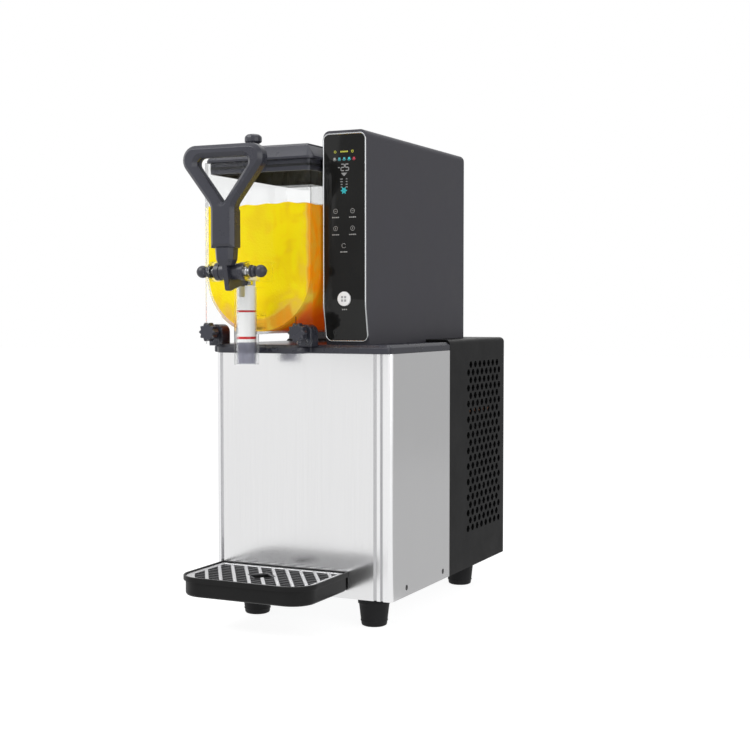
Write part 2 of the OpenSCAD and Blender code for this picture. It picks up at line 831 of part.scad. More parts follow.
// supply board on four pillars, with its transformer and capacitors
module power_board() placed() color("#2f6b3c") {
    block([supply_x0, supply_y0, supply_z], [supply_x0 + supply_w, supply_y0 + supply_d, supply_z + board_t]);
    for (x = [supply_x0 + 5, supply_x0 + supply_w - 5], y = [supply_y0 + 5, supply_y0 + supply_d - 5])
        rod_z(x, y, sheet_t, supply_z + board_t, board_post_r);
    block([supply_x0 + 12, supply_y0 + 14, supply_z], [supply_x0 + 50, supply_y0 + 46, supply_z + 30]);
    for (i = [0 : 2]) rod_z(supply_x0 + 18 + i * 17, supply_y0 + 76, supply_z, supply_z + 26, 7);
}

// flush mains socket with three contacts
module power_inlet() placed() color("#151515") {
    difference() {
        union() {
            inlet_block(0, case_d - inlet_depth, case_d);
            inlet_block(inlet_rim, case_d, case_d + inlet_rim_t);
        }
        inlet_block(-2.5, case_d - inlet_depth + 7, case_d + inlet_rim_t + cut);
    }
    for (i = [-1 : 1]) translate([inlet_x + i * 7, 0, inlet_z - 3 + abs(i)])
        block([-1, case_d - inlet_depth + 6, -2], [1, case_d - 4, 2]);
}

module inlet_block(grow, y0, y1) {
    block([inlet_x - inlet_w / 2 - grow, y0, inlet_z - inlet_h / 2 - grow],
        [inlet_x + inlet_w / 2 + grow, y1, inlet_z + inlet_h / 2 + grow]);
}

module rocker_block(grow, y0, y1) {
    block([rocker_x - rocker_w / 2 - grow, y0, inlet_z - rocker_h / 2 - grow],
        [rocker_x + rocker_w / 2 + grow, y1, inlet_z + rocker_h / 2 + grow]);
}

module switch_body() placed() color("#151515") difference() {
    union() {
        rocker_block(0, case_d - 18, case_d);
        rocker_block(1.5, case_d, case_d + 1);
    }
    rocker_block(-1.5, case_d - 10, case_d + 1 + cut);
    rod_x(rocker_x - rocker_w / 2 + 0.7, rocker_x + rocker_w / 2 - 0.7, case_d - 4, inlet_z, 1.5 + slip);
}

module switch_rocker() placed() color("#c22a22") translate([0, case_d - 4, inlet_z]) {
    run_x(rocker_x - rocker_w / 2 + 1.8, rocker_x + rocker_w / 2 - 1.8) polygon([[-3, -4], [-3, 4], [0, 8],
        [4 + rocker_proud, 8], [4 + rocker_proud / 3, 0], [4, -8], [0, -8]]);
    rod_x(rocker_x - rocker_w / 2 + 1, rocker_x + rocker_w / 2 - 1, 0, 0, 1.5);
}

// ---- drive ----

// arched cover behind the tank, open underneath
module drive_housing() placed() color("#3a3c42") difference() {
    run_y(drive_y, drive_y1) arch_shape(tank_r, cover_z);
    run_y(bracket_y, drive_y1 - cover_t) arch_shape(tank_r - cover_t, cover_z - cut);
    rod_y(tank_x, drive_y - cut, bracket_y + cut, axis_z, drum_flange_r + 1);
    for (i = [-4 : 4]) translate([tank_x, 0, axis_z + i * 9])
        block([-30, drive_y1 - cover_t - cut, -2], [30, drive_y1 + cut, 2]);
}

// plate that carries the drum on one side and the gear motor on the other
module drive_bracket() placed() color("#9a9da1") difference() {
    run_y(bracket_y, motor_y) arch_shape(bracket_half, bracket_z0);
    rod_y(tank_x, bracket_y - cut, motor_y + cut, axis_z, tube_r);
    tank_sides() rod_y(drum_r - drum_t - pipe_r, bracket_y - cut, motor_y + cut, axis_z, pipe_r + gap);
}

module gear_motor() placed() color("#55585d") difference() {
    union() {
        rod_y(tank_x, motor_y, motor_y + gearbox_d, axis_z, gearbox_r);
        rod_y(tank_x, motor_y + gearbox_d - cut, motor_y + gearbox_d + motor_d, axis_z, motor_r);
    }
    rod_y(tank_x, motor_y - cut, motor_y + gearbox_d - 8, axis_z, shaft_r + slip);
}

// hollow steel drum that the slush freezes on, with a tube through it for the shaft
module evaporator_drum() placed() color("#d5d8da") difference() {
    union() {
        rod_y(tank_x, drum_y, bracket_y, axis_z, drum_r);
        rod_y(tank_x, bracket_y - drum_flange_t, bracket_y, axis_z, drum_flange_r);
    }
    ring_y(tank_x, drum_y + drum_t + cut, bracket_y - drum_flange_t - drum_t - cut, axis_z,
        tube_r + tube_t, drum_r - drum_t);
    rod_y(tank_x, drum_y - cut, bracket_y + cut, axis_z, tube_r);
    tank_sides() rod_y(drum_r - drum_t - pipe_r, bracket_y - drum_flange_t - drum_t - 2 * cut,
        bracket_y + cut, axis_z, pipe_r + slip);
}

module shaft_bushes() placed() color("#b08d57") for (y = [drum_y + 12, bracket_y - 18])
    ring_y(tank_x, y, y + 15, axis_z, shaft_r + slip, tube_r - slip);

module shaft_seal() placed() color("#8c1f1a") {
    ring_y(tank_x, drum_y, drum_y + 8, axis_z, shaft_r + slip, tube_r - slip);
    ring_y(tank_x, drum_y - 3, drum_y, axis_z, shaft_r + slip, tube_r + tube_t);
}

module drive_shaft() placed() color("#c4c7ca")
    rod_y(tank_x, hub_y0 + 5, motor_y + gearbox_d - 9, axis_z, shaft_r);

// hub on the shaft's end, with three arms to the front ring of the auger
module auger_hub() placed() color("#f4f4f2") difference() {
    union() {
        rod_y(tank_x, hub_y0, hub_y1, axis_z, hub_r);
        translate([tank_x, hub_y0 + 1, axis_z]) rotate([90, 0, 0]) sphere(hub_r * 0.7);
        run_y(hub_y1 - hub_arm_t, hub_y1) translate([tank_x, axis_z]) {
            for (a = [90, 210, 330]) rotate(a) translate([hub_r - 4, -5])
                square([auger_r - auger_ring / 2 - hub_r + 4, 10]);
            difference() {
                circle(auger_r);
                circle(auger_r - auger_ring);
            }
        }
    }
    rod_y(tank_x, hub_y0 + 4, hub_y1 + cut, axis_z, shaft_r + 0.02);
}

// sector of a ring, drawn flat
function arc(r, a0, a1, n) = [for (i = [0 : n]) r * [cos(a0 + (a1 - a0) * i / n), sin(a0 + (a1 - a0) * i / n)]];

// screw that scrapes the drum, stiffened by three bars
module auger_screw() placed() color("#f4f4f2") translate([tank_x, auger_y0, axis_z]) rotate([-90, 0, 0]) {
    run = auger_y1 - auger_y0;
    linear_extrude(run, twist = -360 * run / auger_pitch, slices = 90, segments = 11)
        polygon(concat(arc(auger_r, 0, auger_sector, 5), arc(auger_in_r, auger_sector, 0, 4)));
    for (a = [30, 150, 270]) rotate([0, 0, a])
        block([auger_in_r + 8, -auger_bar_w / 2, 0], [auger_r - 1, auger_bar_w / 2, run]);
}

// ---- tank and lid ----

// clear tank with its tap barrel, pivot ears and clamp lugs
module tank() placed() color("#e8f2f6", 0.4) difference() {
    union() {
        difference() {
            run_y(tank_y0, tank_y1) u_shape(tank_r, rim_z);
            run_y(tank_y0 + tank_t, tank_y1 - tank_t) u_shape(in_r, rim_z + cut);
        }
        tank_sides() block([tank_r - lug_w, tank_y0, deck_z], [tank_r, tank_y0 + tank_t, axis_z]);
        rod_z(tank_x, barrel_y, barrel_z0, barrel_z1, barrel_r);
        block([tank_x - barrel_r, barrel_y, low_z], [tank_x + barrel_r, tank_y0 + cut, barrel_z1]);
        tank_sides() run_x(ear_in, ear_in + ear_t) {
            translate([pivot_y, pivot_z]) circle(ear_r);
            translate([pivot_y, pivot_z - ear_r]) square([tank_y0 + cut - pivot_y, 2 * ear_r]);
        }
    }
    rod_z(tank_x, barrel_y, barrel_z0 - cut, barrel_z1 + cut, bore_r);
    rod_y(tank_x, barrel_y, tank_y0 + tank_t + cut, duct_z, duct_r);
    rod_x(tank_x - tank_r, tank_x + tank_r, pivot_y, pivot_z, pivot_r + slip);
    rod_y(tank_x, tank_y1 - tank_t - cut, tank_y1 + cut, axis_z, port_r);
    tank_sides() {
        rod_y(clamp_x, tank_y0 - cut, tank_y0 + tank_t + cut, clamp_z, stud_r + 0.5);
        block([clamp_x - stud_r - 0.5, tank_y0 - cut, deck_z - cut],
            [clamp_x + stud_r + 0.5, tank_y0 + tank_t + cut, clamp_z]);
    }
}

// seal between the tank's round port and the drum's flange
module tank_gasket() placed() color("#1e1e1e") {
    ring_y(tank_x, tank_y1 - tank_t - cut, drive_y, axis_z, drum_flange_r + slip, port_r - slip);
    ring_y(tank_x, tank_y1, drive_y, axis_z, port_r - cut, port_r + gasket_lip);
}

// rectangle that follows the tank's rim, moved in by d on every side
module rim_rect(d, r) {
    round_rect([tank_x - tank_r + d, tank_y0 + d], [tank_x + tank_r - d, tank_y1 - d], r);
}

// sloping part of the lid, between two thin slices
module lid_slope(z0, d0, z1, d1, r) {
    hull() {
        translate([0, 0, z0]) linear_extrude(0.01) rim_rect(d0, r, $fn = 32);
        translate([0, 0, z1 - 0.01]) linear_extrude(0.01) rim_rect(d1, r, $fn = 32);
    }
}

module lid() placed() color("#4a4c50") difference() {
    union() {
        run_z(rim_z, rim_z + lid_edge_h) rim_rect(-lid_over, lid_r);
        lid_slope(rim_z + lid_edge_h, -lid_over, rim_z + lid_edge_h + lid_slope_h,
            lid_slope_in - lid_over, lid_r);
        run_z(rim_z + lid_edge_h, lid_top_z) rim_rect(lid_slope_in + lid_step_in, lid_r);
        rod_z(lid_knob_x, lid_knob_y, rim_z + lid_edge_h, lid_top_z, lid_pad_r);
        run_z(rim_z - skirt_h, rim_z + lid_edge_h) rim_rect(tank_t + skirt_gap, lid_r - 3);
    }
    run_z(rim_z - skirt_h - cut, rim_z + cut) rim_rect(tank_t + skirt_gap + skirt_t, lid_r - 4);
    lid_slope(rim_z, tank_t + skirt_gap + skirt_t, rim_z + lid_edge_h + lid_slope_h - lid_t,
        lid_slope_in + lid_t + 1, lid_r - 4);
    rod_z(lid_knob_x, lid_knob_y, rim_z, lid_top_z + cut, 2 + slip);
    difference() {
        run_z(rim_z - skirt_h / 2 - seal_h / 2, rim_z - skirt_h / 2 + seal_h / 2) rim_rect(tank_t, lid_r - 3);
        run_z(rim_z - skirt_h, rim_z) rim_rect(tank_t + skirt_gap + 1, lid_r - 3);
    }
}

// soft ring in the skirt's groove
module lid_gasket() placed() color("#26272a") difference() {
    run_z(rim_z - skirt_h / 2 - seal_h / 2, rim_z - skirt_h / 2 + seal_h / 2)
        rim_rect(tank_t + gap, lid_r - 3);
    run_z(rim_z - skirt_h, rim_z) rim_rect(tank_t + skirt_gap + 1, lid_r - 3);
}

module lid_knob() placed() color("#3f424a") translate([lid_knob_x, lid_knob_y, lid_top_z]) {
    rotate_extrude() {
        square([lid_knob_d * 0.36, lid_knob_h / 2]);
        translate([0, lid_knob_h * 0.3]) square([lid_knob_d / 2, lid_knob_h * 0.45]);
        intersection() {
            translate([0, lid_knob_h - lid_knob_d]) circle(lid_knob_d);
            square([lid_knob_d / 2 - 1, lid_knob_h]);
        }
    }
    translate([0, 0, -lid_h + lid_edge_h + 4]) cylinder(h = lid_h, r = 2);
}

// star knob with its collar and threaded stud
module clamp_knob(side) placed() color("#34363c") translate([tank_x + side * clamp_x, 0, 0]) {
    y1 = tank_y0 - gap;
    y0 = y1 - neck_t - star_t;
    run_y(y0, y0 + star_t) translate([0, clamp_z]) {
        circle(star_r);
        for (i = [0 : lobes - 1]) rotate((i + 0.5) * 360 / lobes) translate([star_r, 0]) circle(lobe_r);
    }
    rod_y(0, y0 + star_t - 1, y1, clamp_z, star_r * 0.7);
    rod_y(0, y1 - 1, tank_y0 + tank_t + post_d - cover_t - 1, clamp_z, stud_r);
}

module clamp_knob_left() clamp_knob(-1);

module clamp_knob_right() clamp_knob(1);

// ---- tap ----

// piston with two ring grooves and a forked head that the lever lifts
module tap_piston() placed() color("#f2f2f0") difference() {
    rod_z(tank_x, barrel_y, piston_z0, head_z, piston_r);
    for (z = [ring_low_z, ring_high_z]) difference() {
        rod_z(tank_x, barrel_y, z - o_ring_r - slip, z + o_ring_r + slip, bore_r);
        rod_z(tank_x, barrel_y, z - 2 * o_ring_r, z + 2 * o_ring_r, bore_r - slip - 2 * o_ring_r);
    }
    block([tank_x - slit_half, barrel_y - bore_r, slit_z], [tank_x + slit_half, barrel_y + bore_r, head_z + cut]);
    block([tank_x - bore_r, barrel_y - bore_r, cross_z - cross_r - slot_play],
        [tank_x + bore_r, pivot_y + lever_arm + cross_r + slot_play, cross_z + cross_r + slot_play]);
}

module piston_rings() placed() color("#c8252b") for (z = [ring_low_z, ring_high_z])
    translate([tank_x, barrel_y, z]) rotate_extrude()
        translate([bore_r - slip - o_ring_r, 0]) circle(o_ring_r - 0.02, $fn = 32);

// straight bar with round ends, drawn in X and Z
module bar_shape(a, b) {
    translate(a) circle(bar_w / 2);
    translate(b) circle(bar_w / 2);
    translate(a) rotate(atan2(b.y - a.y, b.x - a.x)) translate([0, -bar_w / 2]) square([norm(b - a), bar_w]);
}

// lever: grip, neck, hub, and the fin whose end carries the cross pin
module tap_lever() placed() color("#3c3e44") difference() {
    union() {
        run_y(lever_y0, lever_y1 - 3) {
            bar_shape([tank_x - grip_half, grip_z], [tank_x + grip_half, grip_z]);
            bar_shape([tank_x - grip_half, grip_z], [tank_x - neck_half + bar_w / 2, fork_z]);
            bar_shape([tank_x + grip_half, grip_z], [tank_x + neck_half - bar_w / 2, fork_z]);
        }
        block([tank_x - neck_half, lever_y0, neck_z0], [tank_x + neck_half, lever_y1, fork_z]);
        block([tank_x - low_neck_half, lever_y0 + 2, low_neck_z0], [tank_x + low_neck_half, lever_y1, neck_z0]);
        rod_x(tank_x - hub_half, tank_x + hub_half, pivot_y, pivot_z, lever_hub_r);
        run_x(tank_x - arm_half, tank_x + arm_half) polygon([
            [pivot_y - fin_front, pivot_z + fin_top],
            [pivot_y - fin_tip_y - 3, pivot_z - fin_tip_z],
            [pivot_y - fin_tip_y, pivot_z - fin_tip_z],
            [barrel_y - barrel_r - 2, barrel_z1 + fin_clear],
            [cross_y, cross_z - cross_r - 1.5],
            [cross_y, cross_z + cross_r + 1.5],
            [pivot_y, pivot_z + fin_top]]);
        rod_x(tank_x - arm_half, tank_x + arm_half, cross_y, cross_z, cross_r + 1.5);
    }
    rod_x(tank_x - ear_in, tank_x + ear_in, pivot_y, pivot_z, pivot_r + slip);
    rod_x(tank_x - ear_in, tank_x + ear_in, cross_y, cross_z, cross_r + 0.02);
}

module lever_pin() placed() color("#c4c7ca")
    rod_x(tank_x - cross_half, tank_x + cross_half, cross_y, cross_z, cross_r);

module pivot_pin() placed() color("#c4c7ca")
    rod_x(tank_x - ear_in - ear_t - cap_washer - pin_grip, tank_x + ear_in + ear_t + cap_washer + pin_grip,
        pivot_y, pivot_z, pivot_r);

// washer, collar and round knob with a nub, drawn from x = 0 along +X
module acorn() {
    ball_x = cap_washer + cap_collar + cap_r * 0.62;
    difference() {
        union() {
            rod_x(0, cap_washer, 0, 0, cap_washer_r);
            rod_x(0, ball_x, 0, 0, cap_r * 0.76);
            translate([ball_x, 0, 0]) rotate([0, 90, 0]) sphere(cap_r);
            rod_x(0, ball_x + cap_r + 0.8, 0, 0, 2);
        }
        rod_x(-cut, cap_washer + pin_grip + slip, 0, 0, pivot_r + slip);
    }
}

// knobs on the ends of the pin
module pivot_caps() placed() color("#303238") for (turn = [0, 180])
    translate([tank_x, pivot_y, pivot_z]) rotate([0, 0, turn]) translate([ear_in + ear_t, 0, 0]) acorn();

// ---- control column ----

function face_y(z) = z < chin_z ? chin_d * (chin_z - z) / chin_h : 0;

// band that follows the column's face from depth a to depth b, drawn in Y and Z
module face_band(a, b, z0, z1) {
    polygon([[a, z1], [b, z1], [b, chin_z], [b + face_y(z0), z0], [a + face_y(z0), z0], [a, chin_z]]);
}

// column body moved in by t, closed at the top and drawn down to z0
module column_form(front, t, z0) {
    intersection() {
        run_y(0, column_d - t) {
            translate([col_x0 + t, z0]) square([column_w - 2 * t, col_z1 - face_r - z0]);
            translate([col_x0 + face_r, z0]) square([column_w - 2 * face_r, col_z1 - t - z0]);
            for (x = [col_x0 + face_r, col_x1 - face_r]) translate([x, col_z1 - face_r]) circle(face_r - t);
        }
        run_x(col_x0, col_x1) face_band(front, column_d, z0, col_z1);
    }
}

module column_shell() placed() color("#4a4c53") difference() {
    column_form(0, 0, deck_z);
    column_form(seat_y + cover_t, cover_t, deck_z - cut);
    block([col_x0 - cut, cover_y - gap, deck_z - cut], [col_x1 + cut, column_d + cut, cover_z]);
    intersection() {
        run_y(-cut, chin_d + seat_y) face_rect(0.8, face_r - 0.8);
        run_x(col_x0, col_x1) face_band(-cut, seat_y, face_z0, col_z1);
    }
    block([col_mid - window_w / 2 - gap, 0, window_z - window_h / 2 - gap],
        [col_mid + window_w / 2 + gap, seat_y + cover_t + cut, window_z + window_h / 2 + gap]);
    rod_y(col_mid, 0, seat_y + 2 * cover_t, button_z, button_r + gap);
}

// the face's outline, moved in by d on every side, drawn in X and Z
module face_rect(d, r) {
    round_rect([col_x0 + d, face_z0 + d], [col_x1 - d, col_z1 - face_top + 1 - d], r);
}

module column_trim() placed() color("#c9ccd0") intersection() {
    difference() {
        run_y(-cut, chin_d + seat_y) face_rect(0.8 + trim_clear, face_r - 0.8);
        run_y(-2 * cut, chin_d + seat_y + cut) face_rect(trim_w, face_r - trim_w);
    }
    run_x(col_x0, col_x1) face_band(-trim_proud, seat_y, face_z0, col_z1);
}

module touch_glass() placed() color("#0d0d0f") difference() {
    intersection() {
        run_y(-cut, chin_d + seat_y) face_rect(trim_w + trim_clear, face_r - trim_w);
        run_x(col_x0, col_x1) face_band(0, seat_y, face_z0, col_z1);
    }
    rod_y(col_mid, -cut, seat_y + cut, button_z, button_r + gap);
}

module display_module() placed() color("#12181c")
    block([col_mid - window_w / 2, seat_y, window_z - window_h / 2],
        [col_mid + window_w / 2, seat_y + module_t, window_z + window_h / 2]);

// circuit board on pillars behind the column's face, with the start switch
module control_board() placed() color("#2f6b3c") {
    block([col_mid - board_w / 2, board_y, board_z0], [col_mid + board_w / 2, board_y + board_t, board_z0 + board_h]);
    for (s = [-1, 1], z = [board_z0 + 20, board_z0 + 95, board_z0 + board_h - 6])
        rod_y(col_mid + s * (board_w / 2 - 2.6), seat_y + cover_t, board_y + board_t, z, board_post_r);
    rod_y(col_mid, board_y - 3, board_y, button_z, spring_r + 2);
    block([col_mid - 10, board_y, board_z0 + 60], [col_mid + 10, board_y + 8, board_z0 + 80]);
}

module start_button() placed() color("#d4d6d9") {
    rod_y(col_mid, -button_proud, button_depth - button_proud, button_z, button_r);
    rod_y(col_mid, -button_proud, board_y - 3 - button_travel - gap, button_z, spring_r / 2);
}

module button_spring() placed() color("#b9bcbf") {
    y0 = button_depth - button_proud;
    translate([col_mid, y0, button_z]) rotate([-90, 0, 0])
        linear_extrude(board_y - 3 - y0, twist = -360 * spring_turns, slices = 60, segments = 6)
            translate([spring_r, 0]) circle(spring_wire, $fn = 6);
}

// ---- drip tray ----

// the tray's outline moved in by d, drawn in X and Y
module tray_plan(d) {
    round_front([tray_x - tray_w / 2 + d, tray_y0 + d], [tray_x + tray_w / 2 - d, tray_y1 - d], tray_r - d);
}

// sloping lower part between two outlines
module tray_bowl(z0, d0, z1, d1) {
    hull() {
        translate([0, 0, z0]) linear_extrude(0.01) tray_plan(d0, $fn = 32);
        translate([0, 0, z1 - 0.01]) linear_extrude(0.01) tray_plan(d1, $fn = 32);
    }
}

module drip_tray() placed() color("#28282a") difference() {
    union() {
        tray_bowl(tray_lift, rim_out + 6, tray_lift + 8, rim_out);
        run_z(tray_lift + 8 - 0.01, tray_z1 - rim_h) tray_plan(rim_out);
        run_z(tray_z1 - rim_h, tray_z1) tray_plan(0);
        for (s = [-1, 1]) translate([tray_x + s * tab_off, 0, 0])
            block([-tab_w / 2, tray_y1 - rim_out - tray_t, tab_z], [tab_w / 2, tab_len, tab_z + tab_t]);
    }
    tray_bowl(tray_lift + tray_t, rim_out + 6 + tray_t, tray_lift + 8 + tray_t, rim_out + tray_t);
    run_z(tray_lift + 8 + tray_t - 0.01, tray_z1 + cut) tray_plan(rim_out + tray_t);
    run_z(grille_z0 - slip, tray_z1 + cut) tray_plan(rim_out);
}

// slots between slanted ribs and cross bars, drawn in X and Y
module grille_slots() {
    mid_y = (tray_y0 + tray_y1) / 2;
    reach = tray_w;
    difference() {
        tray_plan(grille_in + grille_frame);
        for (i = [-8 : 8]) translate([tray_x + i * rib_pitch, mid_y]) rotate(-rib_angle)
            square([reach, rib_w], center = true);
        for (j = [-7 : 7]) translate([tray_x, mid_y + (j + 0.5) * slot_pitch])
            square([reach, slot_pitch - slot_d], center = true);
        drain_shape(rib_w);
    }
}

// lozenge in the middle of the grille, grown by d
module drain_shape(d) {
    w = drain_w / 2 + d * 1.4;
    h = drain_d / 2 + d * 1.4;
    translate([tray_x, (tray_y0 + tray_y1) / 2]) polygon([[-w, 0], [0, -h], [w, 0], [0, h]]);
}

module drip_grille() placed() color("#a9abad") difference() {
    run_z(grille_z0, grille_z1) tray_plan(grille_in);
    run_z(grille_z0 - cut, grille_z1 + cut) grille_slots();
    run_z(grille_z0 - cut, grille_z1 + cut) drain_shape(0);
}

base_pan();
front_frame();
front_panel();
side_panel_left();
side_panel_right();
case_screws();
rear_cover();
chassis_posts();
top_deck();
feet();
foot_studs();
compressor();
compressor_mounts();
condenser();
fan_shroud();
fan_motor();
fan_blade();
filter_drier();
refrigerant_pipes();
power_board();
power_inlet();
switch_body();
switch_rocker();
drive_housing();
drive_bracket();
gear_motor();
evaporator_drum();
shaft_bushes();
shaft_seal();
drive_shaft();
auger_hub();
auger_screw();
tank();
tank_gasket();
lid();
lid_gasket();
lid_knob();
clamp_knob_left();
clamp_knob_right();
tap_piston();
piston_rings();
tap_lever();
lever_pin();
pivot_pin();
pivot_caps();
column_shell();
column_trim();
touch_glass();
display_module();
control_board();
start_button();
button_spring();
drip_tray();
drip_grille();
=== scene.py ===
import math
import bmesh
import bpy
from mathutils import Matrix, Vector


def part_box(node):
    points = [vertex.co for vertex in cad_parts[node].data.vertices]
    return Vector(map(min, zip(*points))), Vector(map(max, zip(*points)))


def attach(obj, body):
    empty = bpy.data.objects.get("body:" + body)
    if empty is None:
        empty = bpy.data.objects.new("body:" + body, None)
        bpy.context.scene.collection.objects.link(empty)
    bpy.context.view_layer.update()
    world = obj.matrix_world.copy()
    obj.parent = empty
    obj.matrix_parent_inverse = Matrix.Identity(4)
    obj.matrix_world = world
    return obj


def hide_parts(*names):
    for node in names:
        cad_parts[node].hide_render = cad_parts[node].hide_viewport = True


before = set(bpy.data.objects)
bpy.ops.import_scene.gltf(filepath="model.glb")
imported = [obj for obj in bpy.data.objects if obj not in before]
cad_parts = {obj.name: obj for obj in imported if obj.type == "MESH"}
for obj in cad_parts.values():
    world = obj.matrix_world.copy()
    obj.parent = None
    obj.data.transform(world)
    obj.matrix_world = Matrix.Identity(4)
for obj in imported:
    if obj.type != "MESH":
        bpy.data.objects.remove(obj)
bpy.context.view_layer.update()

# ---- Casing floor, chassis angles and drive bracket ----
# A folded floor sheet, two upright angles that carry the drive, and the plate with the drum on one side
# and the gear motor on the other. They are zinc-coated steel and stay as the frame has them.

front_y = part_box("front_panel")[0].y
under_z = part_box("base_pan")[0].z


def at(x, y, z):
    """Place in metres of millimetres right of the middle, behind the front panel and above the underside."""
    return Vector((x / 1000, front_y + y / 1000, under_z + z / 1000))


def reach(node):
    """Lowest and highest corner of a frame node in those millimetres."""
    return [Vector((p.x * 1000, (p.y - front_y) * 1000, (p.z - under_z) * 1000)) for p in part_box(node)]


def feed(tree, target, sockets):
    """Joins a node's inputs to other nodes' sockets, or gives them plain values."""
    for place, source in sockets.items():
        if isinstance(source, bpy.types.NodeSocket):
            tree.links.new(source, target.inputs[place])
        else:
            target.inputs[place].default_value = source


def wired(tree, kind, sockets, **settings):
    """New node with these settings, its inputs fed."""
    new = tree.nodes.new(kind)
    for name, value in settings.items():
        setattr(new, name, value)
    feed(tree, new, sockets)
    return new


def shader_group(name, inputs, outputs):
    """Empty shader group with named inputs (a number or three numbers) and outputs."""
    group = bpy.data.node_groups.new(name, "ShaderNodeTree")
    for label, start in inputs.items():
        kind = "NodeSocketVector" if isinstance(start, tuple) else "NodeSocketFloat"
        group.interface.new_socket(label, in_out="INPUT", socket_type=kind).default_value = start
    for label in outputs:
        group.interface.new_socket(label, in_out="OUTPUT", socket_type="NodeSocketFloat")
    return group, group.nodes.new("NodeGroupInput").outputs, group.nodes.new("NodeGroupOutput")


def noise(tree, vector, scale, detail, rough=0.5, twist=0.0):
    """Value of a noise texture on a vector socket."""
    return wired(tree, "ShaderNodeTexNoise", {"Vector": vector, "Scale": scale, "Detail": detail,
                                              "Roughness": rough, "Distortion": twist}).outputs["Fac"]


# streaks that run one way, as on rolled, drawn or brushed metal, with soft smudges over them
streaks, inside, outside = shader_group("metal_streaks", {"Stretch": (900.0, 900.0, 12.0)},
                                        ["Streaks", "Smudges"])
place = wired(streaks, "ShaderNodeTexCoord", {}).outputs["Object"]
stretched = wired(streaks, "ShaderNodeVectorMath", {0: place, 1: inside["Stretch"]}, operation="MULTIPLY")
feed(streaks, outside, {"Streaks": noise(streaks, stretched.outputs[0], 1.0, 4.0, 0.65),
                        "Smudges": noise(streaks, place, 14.0, 3.0)})


def blank(name):
    """New node material; gives it, its tree and its shader."""
    material = bpy.data.materials.new(name)
    material.use_nodes = True
    return material, material.node_tree, material.node_tree.nodes["Principled BSDF"]


def ranged(tree, value, low, high, to_low, to_high, way="SMOOTHSTEP"):
    """Maps a number socket from one range to another, smoothly or straight."""
    sockets = {"Value": value, "From Min": low, "From Max": high, "To Min": to_low, "To Max": to_high}
    return wired(tree, "ShaderNodeMapRange", sockets, interpolation_type=way).outputs["Result"]


def between(tree, factor, low, high):
    """Number that runs straight from low to high over the middle of a noise's range."""
    return ranged(tree, factor, 0.3, 0.7, low, high, "LINEAR")


def tinted(tree, factor, stops):
    """Colour that runs through the stops as the factor changes."""
    mixer = wired(tree, "ShaderNodeValToRGB", {"Fac": factor})
    ramp = mixer.color_ramp
    for place, _ in stops[2:]:
        ramp.elements.new(place)
    for element, (place, colour) in zip(ramp.elements, sorted(stops)):
        element.position = place
        element.color = (*colour, 1)
    return mixer.outputs["Color"]


def uneven(tree, factor, colour, tone):
    """Colour that wanders from darker to lighter by tone, over the middle of a noise's range."""
    return tinted(tree, factor, [(0.3, [c * (1 - tone) for c in colour]),
                                 (0.7, [min(c * (1 + tone), 1) for c in colour])])


def relief(tree, height, depth_mm):
    """Bump of that depth from a height socket."""
    return wired(tree, "ShaderNodeBump", {"Height": height, "Distance": depth_mm / 1000}).outputs["Normal"]


def metal(name, colour, rough, stretch, tone, depth_mm=0.004):
    """Bare or plated metal with streaks; tone is how far its colour wanders."""
    material, tree, shader = blank(name)
    grain = wired(tree, "ShaderNodeGroup", {"Stretch": stretch}, node_tree=streaks).outputs
    feed(tree, shader, {"Metallic": 1.0, "Base Color": uneven(tree, grain["Streaks"], colour, tone),
                        "Roughness": between(tree, grain["Smudges"], rough * 0.85, rough * 1.15),
                        "Normal": relief(tree, grain["Streaks"], depth_mm)})
    return material


def paint(material, *nodes):
    """Gives frame nodes that stay in view their finish."""
    for node in nodes:
        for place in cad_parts[node].material_slots:
            place.material = material


# zinc-coated steel with painted shade: its colour is darkened to stand for the shade inside the casing, where
# it shows through the air holes
shaded_zinc_steel = metal("shaded_zinc_steel", (0.24, 0.25, 0.26), 0.55, (160.0, 160.0, 60.0), 0.10)
paint(shaded_zinc_steel, "base_pan", "chassis_posts", "drive_bracket")

# ---- Feet ----
# Four round rubber feet, tapered towards the counter and turned in at the foot, each on a threaded stud.
# The studs are zinc plated and go through the floor sheet into nuts.

# fine pebbled surface of moulded plastic and rubber, with a haze of handling over it
pebbles, inside, outside = shader_group("moulded_grain", {"Scale": 1600.0}, ["Pebbles", "Haze"])
place = wired(pebbles, "ShaderNodeTexCoord", {}).outputs["Object"]
feed(pebbles, outside, {"Pebbles": noise(pebbles, place, inside["Scale"], 2.0),
                        "Haze": noise(pebbles, place, 22.0, 5.0, 0.6)})


def pebbled(tree, scale):
    """Pebbles and haze of that scale placed in a material."""
    return wired(tree, "ShaderNodeGroup", {"Scale": scale}, node_tree=pebbles).outputs


def moulded(name, colour, rough, scale=1600.0, depth_mm=0.01, tone=0.12, coat=0.0, shine=0.25):
    """Moulded plastic or rubber with a pebbled grain; a coat makes it glossy."""
    material, tree, shader = blank(name)
    grain = pebbled(tree, scale)
    feed(tree, shader, {"Base Color": uneven(tree, grain["Haze"], colour, tone),
                        "Roughness": between(tree, grain["Haze"], rough * 0.88, min(rough * 1.12, 1)),
                        "Normal": relief(tree, grain["Pebbles"], depth_mm),
                        "Specular IOR Level": shine, "Coat Weight": coat, "Coat Roughness": 0.08})
    return material


def middle(node):
    """Centre of a frame node in those millimetres, as three numbers."""
    return [(low + high) / 2 for low, high in zip(*reach(node))]


def loft(shell, rings, closed=False):
    """Adds a closed body through rings with the same number of points."""
    rows = [[shell.verts.new(p) for p in ring] for ring in rings]
    faces = []
    for low, high in list(zip(rows, rows[1:])) + ([(rows[-1], rows[0])] if closed else []):
        for i in range(len(low)):
            j = (i + 1) % len(low)
            faces.append(shell.faces.new((low[i], low[j], high[j], high[i])))
    if not closed:
        faces += [shell.faces.new(rows[0][::-1]), shell.faces.new(rows[-1])]
    bmesh.ops.recalc_face_normals(shell, faces=faces)


